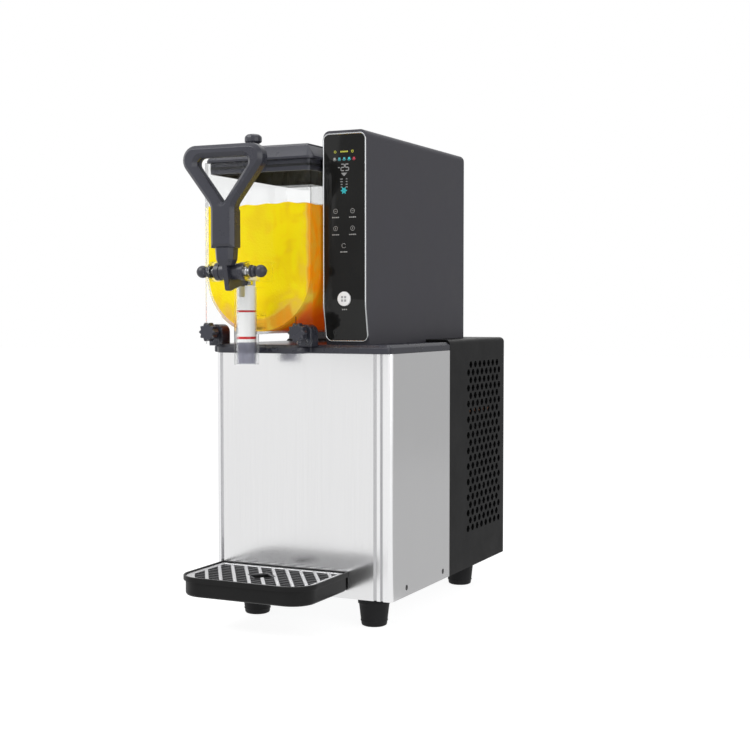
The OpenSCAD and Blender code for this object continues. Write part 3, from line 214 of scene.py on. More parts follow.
def arc(u, v, radius, start, sweep, steps):
    """Points along an arc, from the start angle through the sweep, in degrees."""
    angles = [math.radians(start + sweep * i / steps) for i in range(steps + 1)]
    return [(u + radius * math.cos(a), v + radius * math.sin(a)) for a in angles]


def in_order(axis, u, v, along):
    """Three numbers in the order X, Y, Z, from two across an axis and one along it."""
    return {"X": (along, u, v), "Y": (u, along, v), "Z": (u, v, along)}[axis]


def turned(shell, profile, centre, axis="Z", steps=48):
    """Adds a body turned about an axis through centre, from pairs of a radius and a place along the axis."""
    x, y, z = centre
    rings = []
    for radius, along in profile:
        ring = [in_order(axis, u, v, along) for u, v in arc(0, 0, radius, 0, 360, steps)[:-1]]
        rings.append([at(x + dx, y + dy, z + dz) for dx, dy, dz in ring])
    loft(shell, rings)


def evaluated(thing):
    """Plain mesh of an object with its modifiers done."""
    bpy.context.view_layer.update()
    return bpy.data.meshes.new_from_object(thing.evaluated_get(bpy.context.evaluated_depsgraph_get()))


def worked(thing, kind, **settings):
    """Changes an object's mesh with one modifier."""
    change = thing.modifiers.new(kind, kind)
    for name, value in settings.items():
        setattr(change, name, value)
    thing.data = evaluated(thing)
    thing.modifiers.clear()


def object_of(name, shell):
    """Object from a bmesh, which is freed."""
    mesh = bpy.data.meshes.new(name)
    shell.to_mesh(mesh)
    shell.free()
    thing = bpy.data.objects.new(name, mesh)
    bpy.context.scene.collection.objects.link(thing)
    return thing


sharp_over = math.radians(32)


def finished(name, shell, material, body="root", stands_for=None, edge=0.0, steps=3, crease=36):
    """Makes the finished piece, painted and riding on its body.

    Its sharp edges are rounded by edge millimetres, and it is smooth where faces meet within crease degrees.
    """
    piece = object_of(name, shell)
    if edge:
        worked(piece, "BEVEL", width=edge / 1000, segments=steps, limit_method="ANGLE",
               angle_limit=sharp_over)
    piece.data.shade_smooth()
    piece.data.set_sharp_from_angle(angle=math.radians(crease))
    worked(piece, "WEIGHTED_NORMAL", keep_sharp=True)
    piece.data.materials.clear()
    piece.data.materials.append(material)
    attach(piece, body)
    if stands_for:
        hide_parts(stands_for)


def growing_tree(name, **sizes):
    """Geometry tree with these size inputs, a unit and a finish; gives it and its inputs' sockets."""
    tree = bpy.data.node_groups.new(name, "GeometryNodeTree")
    for label, kind in (*sizes.items(), ("Unit", "Object"), ("Finish", "Material")):
        tree.interface.new_socket(label, in_out="INPUT", socket_type="NodeSocket" + kind)
    tree.interface.new_socket("Geometry", in_out="OUTPUT", socket_type="NodeSocketGeometry")
    return tree, tree.nodes.new("NodeGroupInput").outputs


def repeated(tree, inside, points):
    """Ends a geometry tree: the unit on every point, made real and painted."""
    unit = wired(tree, "GeometryNodeObjectInfo", {"Object": inside["Unit"]}).outputs["Geometry"]
    spread = wired(tree, "GeometryNodeInstanceOnPoints", {"Points": points, "Instance": unit})
    real = wired(tree, "GeometryNodeRealizeInstances", {"Geometry": spread.outputs["Instances"]})
    coat = wired(tree, "GeometryNodeSetMaterial", {"Geometry": real.outputs["Geometry"],
                                                   "Material": inside["Finish"]})
    wired(tree, "NodeGroupOutput", {"Geometry": coat.outputs["Geometry"]})


def grown(tree, **inputs):
    """Runs a geometry tree with these inputs and gives its plain mesh."""
    holder = object_of("holder", bmesh.new())
    growth = holder.modifiers.new("growth", "NODES")
    growth.node_group = tree
    for item in tree.interface.items_tree:
        if item.in_out == "INPUT":
            growth[item.identifier] = inputs[item.name]
    mesh = evaluated(holder)
    bpy.data.objects.remove(holder)
    return mesh


# a unit at the four corners of a rectangle
four, inside = growing_tree("four_corners", Across="Float", Along="Float")
corners = wired(four, "GeometryNodeMeshGrid", {"Vertices X": 2, "Vertices Y": 2, "Size X": inside["Across"],
                                               "Size Y": inside["Along"]})
repeated(four, inside, corners.outputs["Mesh"])

foot_lo, foot_hi = reach("feet")
foot_r = 19
foot_profile = [(0.01, 0.8), (9, 0.5), (9.8, 0), (12.6, 0), (14.4, 0.9), (15, 2.6), (15.2, 5.2), (15.9, 5.9),
                (16, 6.6), (15.6, 7.3), (17.6, 25), (18.9, 26.6), (foot_r, 28), (foot_r, 34), (18.4, 34.9),
                (0.01, 34.9)]
black_rubber = moulded("black_rubber", (0.010, 0.010, 0.011), 0.6, 900.0, 0.02)
one_foot = bmesh.new()
turned(one_foot, foot_profile, (0, middle("feet")[1], foot_lo.z))
one_foot = object_of("one_foot", one_foot)
feet = bmesh.new()
feet.from_mesh(grown(four, Across=(foot_hi.x - foot_lo.x - 2 * foot_r) / 1000,
                     Along=(foot_hi.y - foot_lo.y - 2 * foot_r) / 1000, Unit=one_foot, Finish=black_rubber))
bpy.data.objects.remove(one_foot)
finished("rubber_feet", feet, black_rubber, stands_for="feet", crease=50)
plated = metal("plated_steel", (0.72, 0.73, 0.74), 0.22, (500.0, 500.0, 500.0), 0.05)
paint(plated, "foot_studs")

# ---- Refrigeration ----
# A hermetic compressor on rubber mounts, a finned condenser with its fan in a shroud, a filter drier and
# copper pipes. They stand on the floor sheet behind the front panel and show only through the air holes.

compressor_paint = moulded("compressor_paint", (0.018, 0.018, 0.020), 0.35, 300.0, 0.03, 0.2, 0.3)
copper = metal("copper", (0.55, 0.27, 0.16), 0.42, (300.0, 300.0, 300.0), 0.14)
# the condenser and fan blade are a dark metal: painted shade for the inside of the casing, where it shows
# through the air holes
shaded_condenser_metal = metal("shaded_condenser_metal", (0.10, 0.10, 0.105), 0.55, (20.0, 900.0, 900.0), 0.10)
fan_plastic = moulded("fan_plastic", (0.016, 0.016, 0.017), 0.5)
cast_metal = metal("cast_metal", (0.24, 0.25, 0.26), 0.5, (220.0, 220.0, 220.0), 0.16, 0.03)
paint(compressor_paint, "compressor")
paint(black_rubber, "compressor_mounts")
paint(shaded_condenser_metal, "condenser", "fan_blade")
paint(fan_plastic, "fan_shroud")
paint(cast_metal, "fan_motor", "gear_motor")
paint(copper, "filter_drier", "refrigerant_pipes")

# ---- Power board, mains inlet and rocker switch ----
# A green supply board on the floor sheet, and a black moulded inlet and a red rocker in the back of the
# cover. No lead is plugged in.

board_green, tree, shader = blank("board_green")
grain = pebbled(tree, 260.0)
feed(tree, shader, {"Base Color": tinted(tree, grain["Pebbles"], [(0.42, (0.012, 0.075, 0.03)),
                                                                  (0.58, (0.03, 0.16, 0.06))]),
                    "Roughness": between(tree, grain["Haze"], 0.3, 0.45)})
paint(board_green, "power_board", "control_board")
socket_plastic = moulded("socket_plastic", (0.015, 0.015, 0.016), 0.4)
paint(socket_plastic, "power_inlet", "switch_body")
paint(moulded("rocker_red", (0.50, 0.025, 0.018), 0.25, 2400.0, 0.004, 0.08, 0.5), "switch_rocker")

# ---- Steel front and sides ----
# The front panel stands in two shadow grooves between a square left post and a rounded right post.
# Front and sides are folded from brushed stainless sheet with the grain upright; the sides and posts are
# painted lighter than the front as painted light, and the sheet frame behind them has painted shade towards
# the bottom of the grooves.

upright_grain = (1500.0, 1500.0, 9.0)
# the sides, posts and frame get a lighter copy of the front panel's steel: painted light
lit_side_white = (0.93, 0.93, 0.94)
paint(metal("front_steel", (0.865, 0.865, 0.87), 0.18, upright_grain, 0.02, 0.0015), "front_panel")
lit_side_steel = metal("lit_side_steel", lit_side_white, 0.22, upright_grain, 0.02, 0.0015)
paint(lit_side_steel, "side_panel_left", "side_panel_right")
# painted shade in the grooves: the frame's colour darkens from the grooves' mouth to their floor
groove_steel = metal("groove_steel", lit_side_white, 0.22, upright_grain, 0.02, 0.0015)
groove_mouth, groove_floor = 0.8, 3.6
tree = groove_steel.node_tree
place = wired(tree, "ShaderNodeTexCoord", {}).outputs["Object"]
depth = ranged(tree, wired(tree, "ShaderNodeSeparateXYZ", {0: place}).outputs["Y"],
               at(0, groove_mouth, 0).y, at(0, groove_floor, 0).y, 0.0, 1.0)
feed(tree, tree.nodes["Principled BSDF"],
     {"Base Color": tinted(tree, depth, [(0.0, lit_side_white), (1.0, (0.64, 0.64, 0.65))])})
paint(groove_steel, "front_frame")
paint(compressor_paint, "case_screws")

# ---- Rear cover ----
# One moulded black hood behind the steel sides, with rounded back edges and a field of six-sided air holes
# in each side and in the back. Its open foot goes round the floor sheet.

cover_lo, cover_hi = reach("rear_cover")
half_w, back_y = cover_hi.x, cover_hi.y
hole_across, hole_up = 16.0, 10.0
hole_points = [(-2.6, -4.1), (2.6, -4.1), (5.4, 0), (2.6, 4.1), (-2.6, 4.1), (-5.4, 0)]
cover_wall, cover_r, cover_top_r = 2.5, 10.0, 6.0
field_z0 = 45.0
side_y0, side_n, side_rows = cover_lo.y + 55.2, 8, 22
back_x0, back_n, back_rows = -96.0, 12, 17
cover_black = moulded("cover_black", (0.0075, 0.0075, 0.008), 0.44, 1300.0, 0.014, 0.12, 0.0, 0.15)


def outline(corners, inset, steps):
    """Anticlockwise outline through corners (u, v, radius), each turned by an arc, moved inwards by inset."""
    points = []
    for i, (u, v, radius) in enumerate(corners):
        here = Vector((u, v))
        before = (Vector(corners[i - 1][:2]) - here).normalized()
        after = (Vector(corners[(i + 1) % len(corners)][:2]) - here).normalized()
        half = before.angle(after) / 2
        inwards = (before + after).normalized()
        side = 1 if before.cross(after) < 0 else -1
        radius = max(radius - side * inset, 0.05)
        corner = here + inwards * side * inset / math.sin(half)
        centre = corner + inwards * radius / math.sin(half)
        start, end = (corner + way * radius / math.tan(half) - centre for way in (before, after))
        a = math.atan2(start.y, start.x)
        sweep = (math.atan2(end.y, end.x) - a + math.pi) % (2 * math.pi) - math.pi
        points += arc(centre.x, centre.y, radius, math.degrees(a), math.degrees(sweep), steps)
    return points


def rectangle(u0, v0, u1, v1, *radii):
    """Corners of a rectangle: one radius, or one for each corner from the low one round anticlockwise."""
    r = radii * 4 if len(radii) == 1 else radii
    return [(u0, v0, r[0]), (u1, v0, r[1]), (u1, v1, r[2]), (u0, v1, r[3])]


def stack(shell, corners, layers, steps, axis="Z"):
    """Adds a closed body: the outline at each layer (place along the axis, inset), capped at both ends."""
    loft(shell, [[at(*in_order(axis, u, v, along)) for u, v in outline(corners, inset, steps)]
                 for along, inset in layers])


def slab(shell, corners, low, high, axis, edge, steps=6):
    """Adds a plate between two places along the axis, with its edges cut back by edge."""
    stack(shell, corners, [(low, edge), (low + edge, 0), (high - edge, 0), (high, edge)], steps, axis)


def reopened(thing):
    """Bmesh of an object's mesh; the object goes."""
    shell = bmesh.new()
    shell.from_mesh(thing.data)
    bpy.data.objects.remove(thing)
    return shell


def carved(shell, *cutters):
    """A body with cutter bodies cut out of it."""
    piece = object_of("piece", shell)
    for cutter in cutters:
        tool = object_of("cutter", cutter)
        worked(piece, "BOOLEAN", operation="DIFFERENCE", solver="EXACT", object=tool)
        bpy.data.objects.remove(tool)
    return reopened(piece)


def block(x0, x1, y0, y1, z0, z1):
    """Plain box for cutting with."""
    shell = bmesh.new()
    loft(shell, [[at(x, y, z) for x, y in ((x0, y0), (x1, y0), (x1, y1), (x0, y1))] for z in (z0, z1)])
    return shell


def combined(tree, way, result, *others):
    """Joins number sockets two by two in the way of a Math node."""
    for other in others:
        result = wired(tree, "ShaderNodeMath", {0: result, 1: other}, operation=way).outputs[0]
    return result


# one cell of a field: a plate with a six-sided hole, whose rim also meets the staggered rows above and below
cell = bmesh.new()
u, v = hole_across / 2, hole_up / 2
cell_rim = [(-u, -v), (0, -v), (u, -v), (u, v), (0, v), (-u, v)]
outer, inner = ([cell.verts.new((x / 1000, y / 1000, 0)) for x, y in ring]
                for ring in (cell_rim, hole_points))
for i in range(6):
    j = (i + 1) % 6
    cell.faces.new((outer[i], outer[j], inner[i]))
    cell.faces.new((outer[j], inner[j], inner[i]))
one_cell = object_of("one_cell", cell)

rows, inside = growing_tree("cell_rows", Columns="Int", Rows="Int", Across="Float", Up="Float")
lattice = wired(rows, "GeometryNodeMeshGrid", {})
for count, pitch, side in (("Columns", "Across", "X"), ("Rows", "Up", "Y")):
    span = combined(rows, "MULTIPLY", combined(rows, "SUBTRACT", inside[count], 1), inside[pitch])
    feed(rows, lattice, {"Size " + side: span, "Vertices " + side: inside[count]})
repeated(rows, inside, lattice.outputs["Mesh"])


def hole_field(shell, columns, count, spot):
    """Adds staggered rows of cells, and a plain half cell at both ends of every other row.

    spot gives the place of two numbers in the plane of the field.
    """
    for first, across in ((0, columns), (1, columns - 1)):
        number = (count + 1 - first) // 2
        mesh = grown(rows, Columns=across, Rows=number, Across=hole_across / 1000, Up=2 * hole_up / 1000,
                     Unit=one_cell, Finish=cover_black)
        u, v = columns * hole_across / 2, (number + first - 0.5) * hole_up
        for vertex in mesh.vertices:
            vertex.co = spot(u + 1000 * vertex.co.x, v + 1000 * vertex.co.y)
        shell.from_mesh(mesh)
    for j in range(1, count, 2):
        for u in (0, (columns - 0.5) * hole_across):
            ends = ((u, j), (u + hole_across / 2, j), (u + hole_across / 2, j + 1), (u, j + 1))
            shell.faces.new([shell.verts.new(spot(x, row * hole_up)) for x, row in ends])


# the hood: upright walls with the fields left open, then a rounded top edge and the top
side_y1 = side_y0 + side_n * hole_across
back_x1 = back_x0 + back_n * hole_across
along_side = [side_y0 + i * hole_across / 2 for i in range(2 * side_n + 1)]
along_back = [back_x1 - i * hole_across / 2 for i in range(2 * back_n + 1)]
turn_x, turn_y, turn_z = half_w - cover_r, back_y - cover_r, cover_hi.z - cover_top_r
plan = [(half_w, cover_lo.y), *((half_w, y) for y in along_side), *arc(turn_x, turn_y, cover_r, 0, 90, 8),
        *((x, back_y) for x in along_back), *arc(-turn_x, turn_y, cover_r, 90, 90, 8),
        *((-half_w, y) for y in reversed(along_side)), (-half_w, cover_lo.y)]
heights = [0, *(field_z0 + j * hole_up for j in range(side_rows + 1)), turn_z]
hood = bmesh.new()
shelves = [[hood.verts.new(at(x, y, z)) for x, y in plan] for z in heights]
for out, up in arc(0, 0, cover_top_r, 0, 90, 8)[1:]:
    shelf = []
    for x, y in plan:
        push = Vector((math.copysign(max(abs(x) - turn_x, 0), x), max(y - turn_y, 0)))
        push = push.normalized() * (cover_top_r - out)
        shelf.append(hood.verts.new(at(x - push.x, y - push.y, turn_z + up)))
    shelves.append(shelf)
for j, (low, high) in enumerate(zip(shelves, shelves[1:])):
    for i in range(len(plan) - 1):
        (xa, ya), (xb, yb) = plan[i], plan[i + 1]
        beside = xa == xb and side_y0 <= min(ya, yb) and max(ya, yb) <= side_y1 and 1 <= j <= side_rows
        behind = ya == yb == back_y and back_x0 <= min(xa, xb) and max(xa, xb) <= back_x1
        behind = behind and 1 <= j <= back_rows
        if not beside and not behind:
            hood.faces.new((low[i], low[i + 1], high[i + 1], high[i]))
hood.faces.new(shelves[-1])
hole_field(hood, side_n, side_rows, lambda u, v: at(half_w, side_y0 + u, field_z0 + v))
hole_field(hood, side_n, side_rows, lambda u, v: at(-half_w, side_y1 - u, field_z0 + v))
hole_field(hood, back_n, back_rows, lambda u, v: at(back_x1 - u, back_y, field_z0 + v))
bpy.data.objects.remove(one_cell)
weld = 0.02
bmesh.ops.remove_doubles(hood, verts=hood.verts, dist=weld / 1000)
bmesh.ops.recalc_face_normals(hood, faces=hood.faces)
if max(hood.faces, key=lambda f: f.calc_center_median().z).normal.z < 0:
    bmesh.ops.reverse_faces(hood, faces=hood.faces)
hood = object_of("hood", hood)
worked(hood, "SOLIDIFY", thickness=cover_wall / 1000, offset=-1)
drive_lo, drive_hi = reach("drive_housing")
column_lo, column_hi = reach("column_shell")
flange_w, flange_h, ledge, past = 3.8, 3.2, 8, 9
cutouts = [block(lo.x + flange_w, hi.x - flange_w, back_y - past, back_y + past,
                 lo.z + flange_h, hi.z - flange_h)
           for lo, hi in (reach("power_inlet"), reach("switch_body"))]
cutouts += [block(lo.x + ledge, hi.x - ledge, cover_lo.y + 4, hi.y - 6, cover_hi.z - past, cover_hi.z + past)
            for lo, hi in ((drive_lo, drive_hi), (column_lo, column_hi))]
finished("vented_cover", carved(reopened(hood), *cutouts), cover_black,
         stands_for="rear_cover")

# black sheets lie behind the air holes of the left side and of the back: painted shade that keeps the inside
# of the casing dark where it shows through the other holes
mat_edge, mat_gap, mat_thick = 4, 3.2, 1.2
dust_mat = bmesh.new()
for axis, low, high, count, face in (("X", side_y0, side_y1, side_rows, mat_gap - half_w),
                                     ("Y", back_x0, back_x1, back_rows, back_y - mat_gap - mat_thick)):
    sheet = rectangle(low - mat_edge, field_z0 - mat_edge,
                      high + mat_edge, field_z0 + count * hole_up + mat_edge, 3)
    slab(dust_mat, sheet, face, face + mat_thick, axis, 0.2)
finished("dust_mat", dust_mat, moulded("shade_sheet_black", (0.010, 0.010, 0.011), 0.9, 500.0, 0.2), crease=30)

# ---- Drive ----
# A gear motor on a steel bracket turns a shaft that runs in bronze bushes through a hollow stainless drum.
# A red lip seal closes the drum's nose; a white moulded screw and its three-armed hub turn round the drum.

polished = metal("polished_steel", (0.78, 0.78, 0.79), 0.16, (900.0, 30.0, 900.0), 0.04)
white_acetal = moulded("white_acetal", (0.90, 0.90, 0.89), 0.34, 700.0, 0.006, 0.02, 0.0, 0.5)
red_silicone = moulded("red_silicone", (0.56, 0.02, 0.022), 0.42, 800.0, 0.006, 0.1)
paint(polished, "drive_shaft", "evaporator_drum", "lever_pin", "pivot_pin", "button_spring")
paint(metal("bronze", (0.68, 0.48, 0.26), 0.3, (300.0, 300.0, 300.0), 0.1), "shaft_bushes")
paint(red_silicone, "shaft_seal")
paint(white_acetal, "auger_hub", "auger_screw", "tap_piston")

# ---- Drive housing ----
# A moulded charcoal hood behind the tank, an arch in section, with louvres in its back.
# It stands on the rear cover and hides the bracket and the motor.

charcoal = moulded("charcoal", (0.033, 0.034, 0.046), 0.28, 1500.0, 0.012, 0.10, 0.0, 0.46)
tank_lo, tank_hi = reach("tank")
tank_x, tank_r = (tank_lo.x + tank_hi.x) / 2, (tank_hi.x - tank_lo.x) / 2
axis_z = middle("auger_hub")[2]
housing_wall, collar_r = 2.5, 57
louvre_half_w, louvre_half_h, louvre_pitch = 30, 2, 9


def arch(r, foot_z):
    """Half circle standing on two straight legs, in X and Z."""
    return [(tank_x + r, foot_z), *arc(tank_x, axis_z, r, 0, 180, 40), (tank_x - r, foot_z)]


housing, hollow, collar_hole = bmesh.new(), bmesh.new(), bmesh.new()
skin = [(drive_lo.y, 5), (drive_lo.y, 2.2), (drive_lo.y + 0.7, 0.7), (drive_lo.y + 2.2, 0),
        (drive_hi.y - 5, 0), (drive_hi.y - 2.2, 0.8), (drive_hi.y - 0.6, 2.6), (drive_hi.y, 5)]
loft(housing, [[at(x, y, z) for x, z in arch(tank_r - inset, drive_lo.z)] for y, inset in skin])
loft(hollow, [[at(x, y, z) for x, z in arch(tank_r - housing_wall, drive_lo.z - 2)]
              for y in (drive_lo.y + housing_wall, drive_hi.y - housing_wall)])
turned(collar_hole, [(collar_r, 0), (collar_r, 6)], (tank_x, drive_lo.y - 2, axis_z), "Y", 64)
louvres = [block(tank_x - louvre_half_w, tank_x + louvre_half_w, drive_hi.y - 6, drive_hi.y + 3,
                 axis_z + louvre_pitch * i - louvre_half_h, axis_z + louvre_pitch * i + louvre_half_h)
           for i in range(-4, 5)]
finished("drive_hood", carved(housing, hollow, collar_hole, *louvres), charcoal,
         stands_for="drive_housing", crease=30)

# ---- Top deck ----
# A moulded charcoal plate on the casing, with a chamfered edge, a rounded tongue under the tap
# and two posts with arched tops that the tank is clamped to.

deck_lo, deck_hi = reach("top_deck")
lid_lo, lid_hi = reach("lid")
case_top = reach("front_panel")[1].z
deck_z = case_top + 10
deck_front, deck_back = -6.0, cover_lo.y - 0.3
tank_front, tank_back = lid_lo.y + 0.5, tank_hi.y
clamp_xs = [middle("clamp_knob_" + side)[0] for side in ("left", "right")]
clamp_z = middle("clamp_knob_left")[2]
deck_rim, deck_wall, hollow_front, hollow_back, tongue_r, post_r = 14, 2.5, 9.5, 165, 14, 9
deck_plan = [(deck_hi.x, deck_back, 0.5), (-deck_hi.x, deck_back, 0.5), (-deck_hi.x, deck_front, 5),
             (clamp_xs[0], deck_front, 1.5), (clamp_xs[0], deck_lo.y, tongue_r),
             (clamp_xs[1], deck_lo.y, tongue_r), (clamp_xs[1], deck_front, 1.5), (deck_hi.x, deck_front, 5)]
deck = bmesh.new()
stack(deck, deck_plan, [(case_top, 1.0), (case_top + 0.6, 0.3), (case_top + 1.4, 0), (deck_z - 3.6, 0),
                        (deck_z - 3.2, 0.2), (deck_z - 0.6, 2.6), (deck_z, 3.4)], steps=8)
deck = carved(deck, block(deck_rim - deck_hi.x, deck_hi.x - deck_rim, hollow_front, hollow_back,
                          case_top - 2, deck_z - deck_wall))
for x in clamp_xs:
    side = [(x + post_r, deck_z - 2), *arc(x, clamp_z, post_r, 0, 180, 16), (x - post_r, deck_z - 2)]
    inner = [(x + (u - x) * 0.93, v - (0.6 if v > clamp_z else 0)) for u, v in side]
    loft(deck, [[at(u, tank_front + y, v) for u, v in ring]
                for y, ring in ((3.1, inner), (3.9, side), (20.2, side), (21, inner))])
finished("deck", deck, charcoal, stands_for="top_deck", crease=30)

# ---- Tank ----
# One moulded clear tank, U-shaped in section, with the tap's barrel, the pivot ears and the clamp lugs in one
# with it. It lifts off over the drum; a rubber ring seals its round port on the drum's flange.


def clear(name, tint, rough, index, straight):
    """Clear moulded plastic that lets lamp light through; straight is the share of a view that isn't bent."""
    material, tree, shader = blank(name)
    haze = pebbled(tree, 160.0)["Haze"]
    feed(tree, shader, {"Transmission Weight": 1.0, "IOR": index, "Coat Weight": 0.12, "Coat Roughness": 0.02,
                        "Base Color": tinted(tree, haze, [(0.3, [c * 0.985 for c in tint]), (0.7, tint)]),
                        "Roughness": between(tree, haze, rough * 0.6, rough * 1.6),
                        "Normal": relief(tree, haze, 0.004)})
    edge_on = wired(tree, "ShaderNodeLayerWeight", {"Blend": 0.5}).outputs["Facing"]
    seen_through = tinted(tree, edge_on, [(0.62, [c ** 0.5 for c in tint]), (0.97, (0.42, 0.43, 0.44))])
    through = wired(tree, "ShaderNodeBsdfTransparent", {"Color": seen_through})
    light = wired(tree, "ShaderNodeLightPath", {}).outputs
    unbent = combined(tree, "MAXIMUM", light["Is Shadow Ray"], light["Is Diffuse Ray"], straight)
    mix = wired(tree, "ShaderNodeMixShader", {"Fac": unbent, 1: shader.outputs["BSDF"],
                                              2: through.outputs["BSDF"]})
    feed(tree, tree.nodes["Material Output"], {"Surface": mix.outputs["Shader"]})
    return material


paint(clear("clear_plastic", (0.985, 0.99, 0.99), 0.004, 1.15, 0.4), "tank")
paint(black_rubber, "tank_gasket", "lid_gasket")

# ---- Slush ----
# The frozen drink in the tank, heaped a little towards the back, with a hollow where the screw turns.
# It is a thin coat in the tank's round bottom and deep above the drum.

soak, tank_wall = 0.15, 3
inner_r, screw_room = tank_r - tank_wall, tank_r - 4
slush_y0, slush_y1 = tank_front + tank_wall - soak, tank_back - tank_wall + soak
slush_level = 449.0


def slush_top(x, y):
    """Height of the wavy top at a place."""
    back = (y - slush_y0) / (slush_y1 - slush_y0)
    waves = 1.3 * math.sin(x * 0.11 + 1.1) * math.cos(y * 0.045) + 0.7 * math.sin(x * 0.23 + y * 0.16)
    return slush_level + 5.5 * back + 2.6 * math.exp(-((x - tank_x - 26) / 24) ** 2) + waves


def slush_section(y):
    """Outline of the slush across the tank at a depth: round bottom, upright sides and the wavy top."""
    r = inner_r + soak
    sides = [(tank_x + r, axis_z + 14 * i) for i in range(1, 5)]
    across = [tank_x + r - 2 * r * i / 40 for i in range(41)]
    return [*arc(tank_x, axis_z, r, 180, 180, 48), *sides, *((x, slush_top(x, y)) for x in across),
            *((tank_x - r, z) for _, z in reversed(sides))]


slush, room = bmesh.new(), bmesh.new()
depths = [slush_y0 + (slush_y1 - slush_y0) * i / 36 for i in range(37)]
loft(slush, [[at(x, y, z) for x, z in slush_section(y)] for y in depths])
hub_y = reach("auger_hub")[0].y
turned(room, [(screw_room, 0), (screw_room, slush_y1 - hub_y + 2.1)], (tank_x, hub_y - 1.5, axis_z), "Y", 96)

ice, tree, shader = blank("orange_slush")
grain = pebbled(tree, 420.0)
place = wired(tree, "ShaderNodeTexCoord", {}).outputs["Object"]
across, back, up = wired(tree, "ShaderNodeSeparateXYZ", {0: place}).outputs


def drift(stretch, twist, low, high):
    """Slow change through the slush, longer one way than the other."""
    scaled = wired(tree, "ShaderNodeVectorMath", {0: place, 1: stretch}, operation="MULTIPLY").outputs[0]
    return ranged(tree, noise(tree, scaled, 1.0, 4.0, twist=twist), 0.34, 0.66, low, high)


# yellow in the middle and redder in painted shade: in a crescent under the screw, low down behind the
# front, at the right side and at the foot, with tone that wanders at random over it
core, right, foot = at(tank_x, 0, axis_z), at(tank_x + inner_r, 0, 0).x, at(0, 0, axis_z - inner_r).z
from_axis = wired(tree, "ShaderNodeVectorMath", {0: place, 1: (1, 0, 1), 2: (-core.x, 0, -core.z)},
                  operation="MULTIPLY_ADD").outputs[0]
spread = wired(tree, "ShaderNodeVectorMath", {0: from_axis}, operation="LENGTH").outputs["Value"]
crescent = combined(tree, "MULTIPLY",
                    ranged(tree, spread, (inner_r - 17) / 1000, (inner_r - 13) / 1000, 0.0, 0.2),
                    ranged(tree, up, core.z - 0.02, core.z - 0.045, 0.0, 1.0))
flank = combined(tree, "MULTIPLY", ranged(tree, back, at(0, -21, 0).y, at(0, 6, 0).y, 0.0, 0.62),
                 ranged(tree, up, core.z + 0.02, foot, 0.0, 1.0))
warm_shade = combined(tree, "ADD", crescent, flank, ranged(tree, across, right - 0.008, right, 0.0, 0.42),
                  ranged(tree, up, foot + 0.05, foot + 0.004, 0.0, 0.13),
                  ranged(tree, across, right - 0.075, right - 0.02, -0.04, 0.08),
                  drift((34.0, 34.0, 26.0), 1.6, -0.06, 0.10), drift((110.0, 110.0, 9.0), 0.4, -0.035, 0.035))
slush_colour = tinted(tree, warm_shade, [(0.0, (0.78, 0.61, 0.003)), (1.0, (0.80, 0.09, 0.003)),
                                     (0.14, (0.72, 0.51, 0.004)), (0.26, (0.70, 0.46, 0.045)),
                                     (0.40, (0.66, 0.32, 0.020)), (0.56, (0.76, 0.25, 0.003)),
                                     (0.76, (0.82, 0.17, 0.004))])
# the slush glows a little in its own colour: painted light that keeps its shaded sides bright
feed(tree, shader, {"Base Color": slush_colour, "Emission Color": slush_colour, "Emission Strength": 0.34,
                    "Specular IOR Level": 0.12, "Roughness": between(tree, grain["Haze"], 0.32, 0.5),
                    "Normal": relief(tree, grain["Pebbles"], 0.35)})
finished("slush", carved(slush, room), ice, crease=40)

# ---- Lid ----
# A moulded charcoal lid with sloping sides and a skirt that plugs the tank, a rubber ring in the skirt's
# groove and a faceted knob screwed on near the front.

lid_rise, lid_lap = 17.5, 0.5
rim_z = lid_hi.z - lid_rise
lid_plan = rectangle(tank_x - tank_r - lid_lap, tank_front - lid_lap, tank_x + tank_r + lid_lap,
                     tank_back + lid_lap, 8)
ring_lo, ring_hi = reach("lid_gasket")
knob_x, knob_y, _ = middle("lid_knob")


def layers(base, *pairs):
    """Layers of a stack whose places are counted from a base."""
    return [(base + along, inset) for along, inset in pairs]


lid, knob = bmesh.new(), bmesh.new()
stack(lid, lid_plan, layers(rim_z, (12, 11), (0, 6.2), (-13, 6.2), (-13, 4.6))
      + [(ring_lo.z - 0.1, 4.2), (ring_lo.z, 5.3), (ring_hi.z, 5.3), (ring_hi.z + 0.1, 4.2)]
      + layers(rim_z, (-0.2, 4.2), (0, 4.4), (0, 0.5), (0.5, 0), (2.6, 0), (3.2, 0.4), (14.2, 7.6), (15, 8.6),
               (15.2, 9.0), (17, 9.4), (lid_rise, 10.2)), steps=8)
turned(lid, [(9.6, 0), (9.6, 9.6), (9, 10.4), (7, 10.5)], (knob_x, knob_y, rim_z + 5))
finished("lid_shell", lid, charcoal, body="lid", stands_for="lid", crease=28)
turned(knob, [(2, -14), (2, 0.2), (7.2, 0.2), (7.2, 3.9), (9.2, 4.6), (10, 5.6), (10, 10.0), (9.2, 12.1),
              (7.0, 13.7), (4, 14.3)], (knob_x, knob_y, lid_hi.z), steps=14)
finished("lid_cap", knob, charcoal, body="lid", stands_for="lid_knob",
         edge=0.5, crease=22)

# ---- Clamp knobs ----
# Two moulded ten-lobed knobs with a collar and a stud, screwed through the tank's lugs into the deck's
# posts. Each turns about its own stud.

lobes, lobe_depth, star_r, star_steps = 10, 2.2, 11.3, 120


def star(r):
    """Outline of a lobed knob."""
    points = []
    for i in range(star_steps):
        a = 2 * math.pi * i / star_steps
        here = r - lobe_depth * (0.5 - 0.5 * math.cos(lobes * a)) ** 0.8
        points.append((here * math.cos(a), here * math.sin(a)))
    return points


